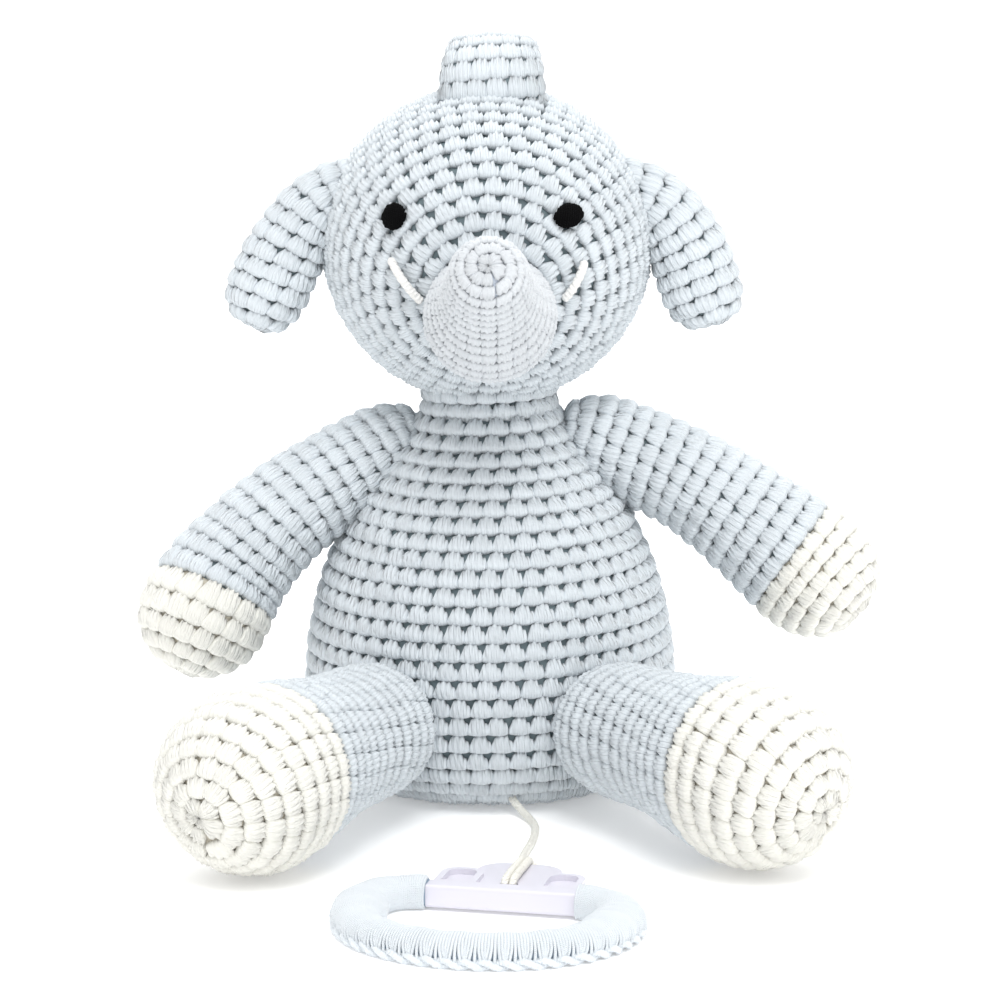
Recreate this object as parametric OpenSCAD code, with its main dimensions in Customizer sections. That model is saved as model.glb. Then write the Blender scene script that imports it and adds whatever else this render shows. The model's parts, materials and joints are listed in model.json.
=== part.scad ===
// Crocheted musical elephant: a sitting, fibre-filled toy with a pull-cord musical movement inside.
// Millimetres. The toy sits on the plane z = 0 and faces -Y; the origin is the middle of its seat.

/* [Body] */
// Widest diameter of the body
body_d = 92; // [80:1:112]
// Height of the body, floor to neck
body_h = 94; // [88:1:114]
// Height of the widest round of the body
waist_h = 31; // [26:1:38]
// Diameter of the flat seat
seat_d = 62; // [50:1:68]
// Diameter of the body at the neck
neck_d = 33; // [28:1:36]
// Thickness of the crocheted fabric
fabric_t = 3; // [2:0.25:3.5]

/* [Head] */
// Diameter of the head
head_d = 80; // [72:1:96]
// Height of the head's centre above the neck's pivot
head_rise = 38; // [36:1:46]
// Diameter of each embroidered eye
eye_d = 6.8; // [4:0.2:9]
// Angle of each eye away from the middle of the face
eye_spread = 31; // [22:1:38]
// Angle of each eye above the head's centre
eye_lift = 12; // [4:1:20]

/* [Trunk] */
// Diameter of the trunk at its root
trunk_root_d = 25; // [20:1:28]
// Diameter of the trunk behind its tip
trunk_tip_d = 16.6; // [13:0.2:20]
// Length from the root's pivot to the end of the tip
trunk_len = 41; // [34:1:48]
// Angle of the trunk above the horizontal
trunk_rise = 17; // [5:1:25]

/* [Ears] */
// Width of each ear across its paddle
ear_w = 19.5; // [15:0.5:22]
// Thickness of each ear
ear_t = 11; // [8:0.5:13]
// Length of each ear from its pivot to its end
ear_len = 38; // [30:1:42]
// Angle by which each ear hangs below the horizontal
ear_hang = 57; // [50:1:65]

/* [Arms] */
// Diameter of the arm at the shoulder
arm_root_d = 23; // [18:1:25]
// Diameter of the hand
hand_d = 31.5; // [26:0.5:36]
// Length from the shoulder's pivot to the end of the hand
arm_len = 77; // [66:1:90]
// Length of the white hand, measured back from its end
hand_len = 24; // [18:1:34]
// Angle of the toy's right arm below the horizontal
arm_drop_right = 38; // [30:1:45]
// Angle of the toy's left arm below the horizontal
arm_drop_left = 30; // [25:1:45]
// Angle of the toy's right arm towards the front
arm_front_right = 22; // [5:1:35]
// Angle of the toy's left arm towards the front
arm_front_left = 13; // [5:1:35]

/* [Legs] */
// Diameter of the leg at the hip
leg_root_d = 33; // [28:1:36]
// Diameter of the foot
foot_d = 41; // [36:0.5:46]
// Length from the hip's pivot to the end of the foot
leg_len = 84.5; // [74:1:96]
// Length of the white foot, measured back from its end
foot_len = 41; // [30:1:50]
// Angle by which the toy's right leg splays outwards
leg_splay_right = 26.5; // [15:0.5:40]
// Angle by which the toy's left leg splays outwards
leg_splay_left = 34; // [15:0.5:40]

/* [Hanging loop] */
// Width of the strap
loop_w = 24; // [16:1:30]
// Thickness of the strap
loop_t = 4.6; // [3:0.2:6]
// Radius of the strap's outer arch
loop_r = 13.5; // [11:0.5:16]

/* [Pull ring] */
// Width of the ring across its curved ends, between the middles of its tube
ring_w = 60; // [52:1:70]
// Radius of the two corners beside the straight bar
ring_corner_r = 13; // [9:1:16]
// Depth of the ring's front arc, from the corners to the middle of its tube
ring_arc_deep = 26.5; // [22:0.5:32]
// Diameter of the ring with its crocheted cover
ring_cover_d = 6.6; // [5.6:0.2:8]
// Diameter of the plastic core inside the cover
ring_core_d = 4.2; // [3:0.2:5]
// Thickness of the lobed plate that holds the cord
plate_t = 2.2; // [1.6:0.2:3]
// Angle by which the ring lies turned on the floor
ring_turn = -13; // [-20:1:20]

/* [Cord] */
// Diameter of the pull cord
cord_d = 1.8; // [1.2:0.1:2.2]
// Length of cord that can be pulled out
cord_travel = 250; // [150:10:300]

/* [Musical movement] */
// Outer diameter of the round case
case_d = 52; // [50:1:56]
// Thickness of the round case
case_t = 24; // [23:0.5:28]
// Wall of the case
case_wall = 1.6; // [1.2:0.1:2]
// Height of the case's centre above the floor
case_z = 51; // [50:1:56]
// Radius of the cord drum's core
drum_r = 6; // [5:0.25:6.5]
// Radius of the pinned cylinder
cylinder_r = 5.6; // [5:0.1:6]
// Gear module
gear_m = 0.4; // [0.4:0.01:0.42]
// Radius of the movement's main arbor
arbor_r = 1; // [0.8:0.1:1.2]

/* [Hidden] */
$fn = 64;

// Sides: -1 is the toy's right (-X), 1 is its left (+X).
RIGHT = -1;
LEFT = 1;

// Clearances
soft_gap = 0.4;        // between soft pieces that move against each other
fill_gap = 0.15;       // between a cover and its filling
run_gap = 0.04;        // radial, between a shaft and its bore
part_gap = 0.3;        // between hard pieces that pass each other
cord_gap = 0.35;       // radial, around the cord where it passes through something
floor_gap = 0.15;      // under the cord where it lies on the floor
wrap_gap = 0.05;       // between the ring's core and its cover

// Ranges of motion, degrees
arm_low = -5;
arm_high = 45;
leg_low = -20;
leg_high = 35;
ear_low = -5;
ear_high = 35;
trunk_swing = 12;
nod_swing = 10;
soft_fn = 14;          // facets of the pockets that limbs move in
ear_fn = 20;           // facets of each ear
ball_fn = 36;          // facets of the head's and body's covers

// Places
neck_pivot = [0, 0, body_h + 3];
neck_r = neck_d / 2;
neck_ball_r = neck_r - 0.5;
head_pos = neck_pivot + [0, 0, head_rise];
head_r = head_d / 2;
arm_root_r = arm_root_d / 2;
hand_r = hand_d / 2;
leg_root_r = leg_root_d / 2;
foot_r = foot_d / 2;
hip_z = foot_r + 2.5;
hip_reach = body_d / 2 - 4;
hip_angle = 33;
ear_root_r = 7.5;
trunk_root_r = trunk_root_d / 2;
trunk_tip_r = trunk_tip_d / 2;
trunk_base_angle = -20;
trunk_sink = 4.5;

function shoulder(side) = [side * (neck_r + 10), 0, body_h - 9];
function arm_drop(side) = side == RIGHT ? arm_drop_right : arm_drop_left;
function arm_front(side) = side == RIGHT ? arm_front_right : arm_front_left;
function arm_dir(side) = [
  side * cos(arm_drop(side)) * cos(arm_front(side)),
  -cos(arm_drop(side)) * sin(arm_front(side)),
  -sin(arm_drop(side))
];
function hip(side) = [side * hip_reach * sin(hip_angle), -hip_reach * cos(hip_angle), hip_z];
function leg_splay(side) = side == RIGHT ? leg_splay_right : leg_splay_left;
leg_drop = asin((hip_z - foot_r) / (leg_len - foot_r));
function leg_dir(side) = [
  side * sin(leg_splay(side)) * cos(leg_drop),
  -cos(leg_splay(side)) * cos(leg_drop),
  -sin(leg_drop)
];
function ear_root(side) = head_pos + head_r * [side * 0.925, -0.10, 0.338];
function ear_dir(side) = [side * cos(ear_hang), 0, -sin(ear_hang)];
trunk_pivot = head_pos + (head_r - trunk_sink) * [0, -cos(trunk_base_angle), sin(trunk_base_angle)];
trunk_dir = [0, -cos(trunk_rise), sin(trunk_rise)];

// The level axis about which a piece that points along d is lifted.
function lift_axis(d) = [d[1], -d[0], 0] / norm([d[0], d[1]]);

// Curves: a cubic between four points, and an arc by centre, radius and end angles.
function cubic(a, b, c, d, n) = [
  for (i = [0 : n])
    let (t = i / n, u = 1 - t)
      u * u * u * a + 3 * u * u * t * b + 3 * u * t * t * c + t * t * t * d
];
function arc(c, r, a0, a1, n) = [
  for (i = [0 : n])
    let (w = a0 + (a1 - a0) * i / n)
      c + r * [cos(w), sin(w)]
];
function tail(list) = [for (i = [1 : len(list) - 1]) list[i]];
function reversed(list) = [for (i = [len(list) - 1 : -1 : 0]) list[i]];
function unit(v) = v / norm(v);

// A smooth run through chosen points, n steps between each two.
function through(p, n) = [
  for (i = [0 : len(p) - 2])
    for (k = [0 : i == len(p) - 2 ? n : n - 1])
      let (
        t = k / n,
        a = p[max(i - 1, 0)],
        b = p[i],
        c = p[i + 1],
        d = p[min(i + 2, len(p) - 1)]
      )
      0.5 * (2 * b + (c - a) * t + (2 * a - 5 * b + 4 * c - d) * t * t + (3 * b - a - 3 * c + d) * t * t * t)
];

// A round tube along a path that never runs along X.
module tube(path, r, sides = 8) {
  n = len(path);
  dirs = [for (i = [0 : n - 1]) unit(path[min(i + 1, n - 1)] - path[max(i - 1, 0)])];
  rings = [
    for (i = [0 : n - 1])
      let (s = unit(cross(dirs[i], [1, 0, 0])), w = cross(dirs[i], s))
        for (k = [0 : sides - 1])
          path[i] + r * (cos(360 * k / sides) * s + sin(360 * k / sides) * w)
  ];
  walls = [
    for (i = [0 : n - 2])
      for (k = [0 : sides - 1])
        let (m = (k + 1) % sides)
          [i * sides + k, (i + 1) * sides + k, (i + 1) * sides + m, i * sides + m]
  ];
  first_cap = [for (k = [0 : sides - 1]) k];
  last_cap = [for (k = [sides - 1 : -1 : 0]) (n - 1) * sides + k];
  polyhedron(rings, concat([first_cap], walls, [last_cap]), convexity = 10);
}

// Turns +Z to point along d, and swings children about a pivot.
module aim(d) rotate([0, acos(d[2]), atan2(d[1], d[0])]) children();
module swing(pivot, axis, angle) translate(pivot) rotate(a = angle, v = axis) children();

// ---- Body ----

// Outline of the body, inset by e, from the seat's centre to the neck's centre.
function body_outline(e) = concat(
  [[0, e], [seat_d / 2 - e, e]],
  tail(cubic(
    [seat_d / 2 - e, e],
    [seat_d / 2 + 10 - e, 2 + e],
    [body_d / 2 - e, waist_h * 0.45],
    [body_d / 2 - e, waist_h], 7
  )),
  tail(cubic(
    [body_d / 2 - e, waist_h],
    [body_d / 2 - e, waist_h + (body_h - waist_h) * 0.38],
    [neck_r + 10.5 - e, body_h - 11],
    [neck_r - e, body_h - e], 10
  )),
  [[0, body_h - e]]
);

module body_solid(e) rotate_extrude($fn = ball_fn) polygon(body_outline(e));

// A ball that holds a true ball of radius r inside its facets.
module soft_ball(r) sphere(r / pow(cos(180 / $fn), 2));

// The space that a limb's root and shaft take over its whole travel, e larger all round.
module limb_travel(pivot, d, r0, r1, reach, low, high, e) {
  mid = (low + high) / 2;
  for (ends = [[low, mid], [mid, high]])
    hull() {
      translate(pivot) soft_ball(r0 + e);
      for (i = [0 : 2])
        swing(pivot, lift_axis(d), ends[0] + (ends[1] - ends[0]) * i / 2) translate(reach * d) soft_ball(r1 + e);
    }
}

module limb_pockets(e) {
  for (side = [RIGHT, LEFT]) {
    limb_travel(
      shoulder(side), arm_dir(side), arm_root_r, arm_root_r + 1.4, arm_len * 0.5, arm_low, arm_high, e, $fn = soft_fn
    );
    limb_travel(
      hip(side), leg_dir(side), leg_root_r, leg_root_r + 1.2, leg_len * 0.4, leg_low, leg_high, e, $fn = soft_fn
    );
  }
  translate(neck_pivot) sphere(neck_ball_r + e, $fn = 32);
}

module body_cover() {
  color("lightsteelblue") difference() {
    body_solid(0);
    difference() {
      body_solid(fabric_t);
      limb_pockets(soft_gap + fabric_t);
    }
    limb_pockets(soft_gap);
    tube(cord_path, cord_d / 2 + cord_gap);
  }
}

module body_stuffing() {
  color("white") difference() {
    body_solid(fabric_t + fill_gap);
    limb_pockets(soft_gap + fabric_t + fill_gap);
    case_block(fill_gap);
    tube(cord_path, cord_d / 2 + cord_gap);
    translate(grommet_pos - [0, 0, grommet_h]) cylinder(r = grommet_flange_r + fill_gap, h = 2 * grommet_h);
  }
}

// ---- Neck: a ring of sewn rounds over a plug of filling ----

neck_seam_t = 3;
neck_seam_h = 6;

module neck_seam() {
  color("lightsteelblue") translate(neck_pivot) intersection() {
    difference() {
      sphere(neck_ball_r);
      sphere(neck_ball_r - neck_seam_t);
    }
    cylinder(r = neck_ball_r + 1, h = neck_seam_h, center = true);
  }
}

module neck_stuffing() color("white") translate(neck_pivot) sphere(neck_ball_r - neck_seam_t - fill_gap);

// ---- Head ----

module head_pockets(e) {
  for (side = [RIGHT, LEFT]) ear_travel(side, e, $fn = soft_fn);
  limb_travel(
    trunk_pivot, trunk_dir, trunk_root_r, trunk_tip_r + 2, trunk_len * 0.45, -trunk_swing, trunk_swing, e,
    $fn = soft_fn
  );
  for (a = [-nod_swing, nod_swing])
    hull() {
      neck_clear(0, e);
      neck_clear(a, e);
    }
}

// The neck plug and the end of the body, which the head's underside stays clear of as it nods by a.
module neck_clear(a, e) swing(neck_pivot, [1, 0, 0], a) {
  soft_ball(neck_ball_r + e, $fn = 24);
  translate([0, 0, -neck_pivot[2]]) rotate_extrude($fn = 24) polygon([
    [0, body_h - 12],
    [neck_r + 6.8 + e, body_h - 12],
    [neck_r + 0.2 + e, body_h + e],
    [0, body_h + e]
  ]);
}

// The opening through which the head is filled, hidden over the neck.
head_opening_r = 8;

module head_cover() {
  color("lightsteelblue") difference() {
    translate(head_pos) sphere(head_r, $fn = ball_fn);
    difference() {
      translate(head_pos) sphere(head_r - fabric_t, $fn = ball_fn);
      head_pockets(soft_gap + fabric_t);
    }
    head_pockets(soft_gap);
    translate(neck_pivot) cylinder(r = head_opening_r, h = neck_r + fabric_t + 6);
  }
}

module head_stuffing() {
  color("white") difference() {
    translate(head_pos) sphere(head_r - fabric_t - fill_gap, $fn = ball_fn);
    head_pockets(soft_gap + fabric_t + fill_gap);
  }
}

// A thin round patch of embroidery that lies on the head.
eye_t = 0.9;
face_gap = 0.15;

module eye(side) {
  color("black") translate(head_pos) intersection() {
    difference() {
      sphere(head_r + face_gap + eye_t, $fn = 128);
      sphere(head_r + face_gap, $fn = 128);
    }
    rotate([90 - eye_lift, 0, side * eye_spread]) cylinder(d = eye_d, h = head_d);
  }
}

// One straight stitch of white thread, laid along the head from low beside the trunk to high.
cheek_d = 1.2;
cheek_arc = 17;
cheek_low = -16;
cheek_side = 25;
cheek_lean = 35;

module cheek_stitch(side) {
  color("white") translate(head_pos) rotate([90 - cheek_low, 0, side * cheek_side])
    rotate([0, 0, 90 - side * cheek_lean]) rotate([90, 0, 0])
      rotate([0, 0, 90])
        rotate_extrude(angle = -cheek_arc) translate([head_r + face_gap + cheek_d / 2, 0]) circle(d = cheek_d);
}

loop_sink = 2.5;

module hanging_loop() {
  color("lightsteelblue") difference() {
    translate(head_pos + [0, 0, head_r - loop_sink]) rotate([90, 0, 90])
      linear_extrude(height = loop_w, center = true) difference() {
        circle(r = loop_r);
        circle(r = loop_r - loop_t);
      }
    translate(head_pos) sphere(head_r + face_gap);
  }
}

// ---- Trunk ----

// Outline of the trunk inset by e: a round root, a waist and a domed tip.
function trunk_outline(e) = concat(
  arc([0, 0], trunk_root_r - e, -90, 0, 8),
  tail(cubic(
    [trunk_root_r - e, 0],
    [trunk_root_r - e, trunk_len * 0.2],
    [trunk_tip_r - e, trunk_len * 0.3],
    [trunk_tip_r - e, trunk_len - trunk_tip_r], 8
  )),
  tail(arc([0, trunk_len - trunk_tip_r], trunk_tip_r - e, 0, 90, 8))
);

module trunk_place() translate(trunk_pivot) aim(trunk_dir) children();

module trunk_cover() {
  color("lavender") trunk_place() rotate_extrude()
    polygon(concat(trunk_outline(0), reversed(trunk_outline(fabric_t * 0.7))));
}

module trunk_stuffing() {
  color("white") trunk_place() rotate_extrude() polygon(trunk_outline(fabric_t * 0.7 + fill_gap));
}

// ---- Ears ----

// A flat paddle with a small round root and a wide round end, e larger all round.
module ear_paddle(side, e, lift = 0) {
  swing(ear_root(side), [0, 1, 0], side * -lift) scale([1, (ear_t / 2 + e) / (ear_w / 2 + e), 1])
    hull() {
      soft_ball(ear_root_r + e);
      translate((ear_len - ear_w / 2) * ear_dir(side)) soft_ball(ear_w / 2 + e);
    }
}

module ear_travel(side, e) {
  mid = (ear_low + ear_high) / 2;
  for (ends = [[ear_low, mid], [mid, ear_high]])
    hull() {
      for (i = [0 : 2]) ear_paddle(side, e, ends[0] + (ends[1] - ends[0]) * i / 2);
    }
}

ear_wall = 2.4;

module ear_cover(side) {
  color("lightsteelblue") difference() {
    ear_paddle(side, 0, $fn = ear_fn);
    ear_paddle(side, -ear_wall, $fn = ear_fn);
  }
}

module ear_stuffing(side) color("white") ear_paddle(side, -ear_wall - fill_gap, $fn = ear_fn);

// ---- Arms and legs ----

// Outline of a limb inset by e: round root, shaft, and a ball at the end that starts at join.
function shaft_outline(r0, rj, join, e) = concat(
  arc([0, 0], r0 - e, -90, 0, 8),
  tail(cubic([r0 - e, 0], [r0 - e, join * 0.5], [rj - e, join * 0.75], [rj - e, join], 6))
);
function ball_outline(rj, re, join, length, e) = concat(
  cubic([rj - e, join], [re - e, join + (length - re - join) * 0.4], [re - e, length - re], [re - e, length - re], 4),
  tail(arc([0, length - re], re - e, 0, 90, 9))
);

module shaft_shell(r0, rj, join, wall) {
  rotate_extrude() polygon(concat(
    shaft_outline(r0, rj, join, 0),
    reversed(shaft_outline(r0, rj, join, wall))
  ));
}

module ball_shell(rj, re, join, length, wall) {
  rotate_extrude() polygon(concat(
    ball_outline(rj, re, join, length, 0),
    reversed(ball_outline(rj, re, join, length, wall))
  ));
}

module limb_filling(r0, rj, re, join, length, e) {
  rotate_extrude() polygon(concat(
    shaft_outline(r0, rj, join, e),
    tail(ball_outline(rj, re, join, length, e))
  ));
}

arm_join = arm_len - hand_len;
arm_join_r = hand_r - 1;
leg_join = leg_len - foot_len;
leg_join_r = foot_r - 1.5;

module arm_place(side) translate(shoulder(side)) aim(arm_dir(side)) children();
module leg_place(side) translate(hip(side)) aim(leg_dir(side)) children();

module arm_sleeve(side) {
  color("lightsteelblue") arm_place(side) shaft_shell(arm_root_r, arm_join_r, arm_join, fabric_t);
}

module hand(side) {
  color("ivory") arm_place(side) ball_shell(arm_join_r, hand_r, arm_join, arm_len, fabric_t);
}

module arm_filling(side) {
  color("white") arm_place(side)
    limb_filling(arm_root_r, arm_join_r, hand_r, arm_join, arm_len, fabric_t + fill_gap);
}

module leg_sleeve(side) {
  color("lightsteelblue") leg_place(side) shaft_shell(leg_root_r, leg_join_r, leg_join, fabric_t);
}

module foot(side) {
  color("ivory") leg_place(side) ball_shell(leg_join_r, foot_r, leg_join, leg_len, fabric_t);
}

module leg_filling(side) {
  color("white") leg_place(side)
    limb_filling(leg_root_r, leg_join_r, foot_r, leg_join, leg_len, fabric_t + fill_gap);
}

// ---- Pull ring ----

ring_z = ring_cover_d / 2;
ring_pos = [3, -121.3, ring_z];
corner_x = ring_w / 2 - ring_corner_r;
bar_w = 2 * corner_x - 1;
bar_h = 5;
bar_deep = 5.4;
plate_w = bar_w;
lobe_deep = 14.5;
mid_lobe_w = 19;
mid_lobe_deep = 23;
bar_bevel = 0.8;
rim_x = 11.4;
rim_w = 9.4;
rim_t = 1.5;
rim_h = 0.9;
plate_z = 0.2;
hole_y = 6;
hole_r = cord_d + 0.3;

module ring_place() translate(ring_pos) rotate([0, 0, ring_turn]) children();

// The ring's curve: two corners beside the bar and one wide, shallower arc in front.
module ring_sweep(d) {
  for (s = [-1, 1]) translate([s * corner_x, -ring_corner_r, 0])
    rotate([0, 0, s > 0 ? 0 : 90]) rotate_extrude(angle = 90) translate([ring_corner_r, 0]) children();
  translate([0, -ring_corner_r, 0]) scale([1, 2 * ring_arc_deep / ring_w, 1]) rotate([0, 0, 180])
    rotate_extrude(angle = 180) translate([ring_w / 2, 0]) children();
  for (s = [-1, 1]) translate([s * (bar_w / 2 + d / 2), 0, 0]) rotate([90, 0, 90])
    linear_extrude(height = d, center = true) children();
}

module lobe(w, deep, r) {
  translate([-w / 2 + r, -deep + r]) square([w - 2 * r, 2 * deep - 2 * r]);
  translate([-w / 2, -deep]) square([w, 2 * deep - r]);
  for (s = [-1, 1]) translate([s * (w / 2 - r), deep - r]) circle(r = r);
}

// The bar's section: its height across, its depth up, with bevelled edges.
module bar_section() {
  square([bar_deep - 2 * bar_bevel, bar_h], center = true);
  square([bar_deep, bar_h - 2 * bar_bevel], center = true);
  for (a = [-1, 1], b = [-1, 1]) translate([a * (bar_deep / 2 - bar_bevel), b * (bar_h / 2 - bar_bevel)])
    circle(r = bar_bevel);
}

module pull_ring() {
  color("white") ring_place() {
    ring_sweep(corner_x - bar_w / 2) circle(d = ring_core_d);
    difference() {
      union() {
        rotate([90, 0, 90]) linear_extrude(height = bar_w, center = true) bar_section();
        for (s = [-1, 1]) translate([s * rim_x, bar_deep / 2 - 1, plate_z]) linear_extrude(height = plate_t / 2 + rim_h)
          intersection() {
            lobe(rim_w, lobe_deep - bar_deep / 2 + 1, 4);
            translate([-rim_w, 0]) square([2 * rim_w, 2 * rim_w]);
          }
        translate([0, 0, plate_z - plate_t / 2]) linear_extrude(height = plate_t) intersection() {
          union() {
            translate([0, 1]) lobe(plate_w, lobe_deep - 1, 6);
            translate([0, 1]) lobe(mid_lobe_w, mid_lobe_deep - 1, 6);
          }
          translate([-plate_w, 0]) square([2 * plate_w, 2 * plate_w]);
        }
      }
      translate([0, hole_y, -bar_h]) cylinder(r = hole_r, h = 2 * bar_h);
      for (s = [-1, 1]) translate([s * rim_x, bar_deep / 2, plate_z + plate_t / 2 - 0.4]) linear_extrude(height = 2)
        intersection() {
          lobe(rim_w - 2 * rim_t, lobe_deep - bar_deep / 2 - rim_t, 2.5);
          translate([-rim_w, 1]) square([2 * rim_w, 2 * rim_w]);
        }
    }
  }
}

module ring_cover() {
  color("lightsteelblue") ring_place() ring_sweep(corner_x - bar_w / 2) difference() {
    circle(d = ring_cover_d);
    circle(d = ring_core_d + 2 * wrap_gap);
  }
}

// ---- Cord ----

cord_r = cord_d / 2;
cord_low = cord_r + floor_gap;
drum_x = -12.8;
exit_pos = [5.5, -37, 3.6];
knot_r = 2.3;
loop_end_y = mid_lobe_deep + cord_r + 0.4;
knot_out = loop_end_y + knot_r - 0.4;
knot_pos = [ring_pos[0] - knot_out * sin(ring_turn), ring_pos[1] + knot_out * cos(ring_turn), knot_r];

// From the drum, through the case's rim, the filling and the cover, to the floor and the knot.
inside_points = [
  [drum_x, -5, case_z - 5], [drum_x, -5, case_z - 10], [-11.6, -4.9, case_z - 14.5],
  [-8.6, -4.8, case_z - 19.5], [-6.5, -4.7, case_z - 24], [-6.3, -5.2, case_z - 28.5],
  [-4.5, -9, case_z - 33], [-1.5, -16, case_z - 38], [2, -26, case_z - 43], exit_pos
];
outside_points = [
  exit_pos + [0.3, -0.6, -0.2], [7.6, -41, 2], [9.6, -46, cord_low], [10.8, -53, cord_low], [10.6, -61, cord_low],
  [9.8, -68, cord_low], [8.6, -75, cord_low], [7.6, -82, cord_low], [7.6, -89, 1.3], knot_pos
];
inside_path = through(inside_points, 2);
outside_path = through(outside_points, 3);
cord_path = concat(inside_path, [for (i = [1 : 6]) outside_path[i]]);

module cord_inside() color("ivory") tube(inside_path, cord_r);
module pull_cord() color("ivory") tube(outside_path, cord_r);

module cord_knot() {
  color("ivory") difference() {
    translate(knot_pos) sphere(knot_r);
    tube(outside_path, cord_r + 0.01);
    loop_strands(0.01);
  }
}

// Two strands side by side: over the plate, down the hole and back under it to the knot.
loop_over_z = plate_z + plate_t / 2 + cord_r + 0.05;
loop_under_z = plate_z - plate_t / 2 - cord_r - 0.05;
loop_points = [
  [0, loop_end_y, plate_z], [0, loop_end_y - 0.9, loop_over_z], [0, 15, loop_over_z], [0, 9, loop_over_z],
  [0, hole_y + 0.3, plate_z + 1], [0, hole_y + 0.3, plate_z - 1], [0, 9, loop_under_z],
  [0, 15, loop_under_z], [0, loop_end_y - 0.9, loop_under_z]
];

module loop_strands(e) ring_place() for (s = [-1, 1])
  translate([s * cord_r, 0, 0]) tube(through(loop_points, 2), cord_r - 0.05 + e);

module cord_loop() color("ivory") loop_strands(0);

// ---- Movement: case ----

case_pos = [0, 2, case_z];
case_r = case_d / 2;
case_in = case_r - case_wall;
boss_r = 2.6;
screw_r = 1;
screw_head_r = 1.8;
screw_head_t = 1;
screw_ring = case_in - boss_r + 0.8;
screw_angles = [50, 130, 235, 310];
grommet_r = 2.3;
grommet_flange_r = 3.2;
grommet_pos = [-6.4, -4.8, case_z - 24.5];
grommet_h = 5;

// Places children by the case: x across, y front to back, z up, from the case's centre.
module in_case() translate(case_pos) children();

// Turns +Z to run from the front of the case to its back, or to run across it to the right.
module along_y() rotate([-90, 0, 0]) children();
module along_x() rotate([0, 90, 0]) children();

module case_block(e) in_case() along_y() cylinder(r = case_r + e, h = case_t + 2 * e, center = true);

module at_screws() in_case() for (w = screw_angles) rotate([0, w, 0]) translate([screw_ring, 0, 0]) along_y() children();

// One half of the case: s is -1 in front and 1 at the back.
module case_half(s) {
  difference() {
    union() {
      in_case() along_y() mirror([0, 0, s > 0 ? 0 : 1]) difference() {
        cylinder(r = case_r, h = case_t / 2);
        translate([0, 0, -1]) cylinder(r = case_in, h = case_t / 2 - case_wall + 1);
      }
      at_screws() mirror([0, 0, s > 0 ? 0 : 1]) cylinder(r = boss_r, h = case_t / 2 - case_wall / 2);
    }
    at_screws() cylinder(r = screw_r + run_gap, h = case_t - 2 * case_wall, center = true);
    at_screws() translate([0, 0, case_t / 2 - screw_head_t]) cylinder(r = screw_head_r + part_gap, h = case_wall);
    at_screws() cylinder(r = screw_r + run_gap, h = case_t);
    if (s > 0) frame_screw_holes();
    translate(grommet_pos) cylinder(r = grommet_r, h = grommet_h + 1, center = true);
  }
}

module case_front() color("whitesmoke") case_half(-1);
module case_rear() color("whitesmoke") case_half(1);

module case_screws() {
  color("silver") at_screws() {
    translate([0, 0, case_t / 2 - screw_head_t]) cylinder(r = screw_head_r, h = screw_head_t);
    translate([0, 0, -case_t / 2 + 2 * case_wall + part_gap])
      cylinder(r = screw_r, h = case_t - 2 * case_wall - part_gap - screw_head_t + 0.01);
  }
}

module cord_grommet() {
  color("dimgray") difference() {
    translate(grommet_pos) union() {
      cylinder(r = grommet_r, h = grommet_h, center = true);
      translate([0, 0, -grommet_h / 2 - 0.4]) cylinder(r = grommet_flange_r, h = 0.8);
    }
    translate([grommet_pos[0], grommet_pos[1], 0]) cylinder(r = cord_r + 2.7 * cord_gap, h = case_z);
  }
}

// ---- Movement: frame ----

arbor_y = 0;
arbor_z = -5;
plate_back = case_t / 2 - case_wall;
bed_t = 1.4;
bed_front = plate_back - bed_t;
lug_t = 1;
lug_left = -21.2;
lug_mid = -9.2;
gear_plate_x = 16;
gear_plate_t = 1.2;
wheel_teeth = 40;
pinion_teeth = 10;
idler_teeth = 32;
fly_teeth = 8;
idler_y = arbor_y;
idler_z = arbor_z + gear_m * (wheel_teeth + pinion_teeth) / 2;
fly_gap = gear_m * (idler_teeth + fly_teeth) / 2;
fly_y = -6;
fly_z = idler_z + sqrt(fly_gap * fly_gap - fly_y * fly_y);
fly_r = 0.6;
stud_r = 0.8;
comb_x0 = -7.2;
comb_x1 = 10.4;
comb_z0 = arbor_z + cylinder_r + 1;
comb_block_z0 = 9;
comb_top = 13.5;
comb_screw_x = [-3, 6.5];
comb_screw_z = 11.3;
comb_screw_r = 0.8;
frame_screw_xz = [[-6, -10.5], [8, -10.5]];
frame_screw_r = 0.9;

// A rod or bore along X, from x0 to x1, at a place y, z in the case.
module rod(x0, x1, y, z, r) in_case() translate([x0, y, z]) along_x() cylinder(r = r, h = x1 - x0);

// A block between two corners in the case.
module block(a, b) in_case() translate(a) cube(b - a);

module frame_screw_holes() {
  for (q = frame_screw_xz) in_case() translate([q[0], bed_front - 1, q[1]]) along_y()
    cylinder(r = frame_screw_r + run_gap, h = case_t / 2);
}

module frame_screws() {
  color("silver") for (q = frame_screw_xz) in_case() translate([q[0], bed_front - 0.6, q[1]]) along_y() {
    cylinder(r = frame_screw_r, h = case_t / 2 - bed_front + 0.6);
    translate([0, 0, -1]) cylinder(r = 1.7, h = 1);
  }
}

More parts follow.
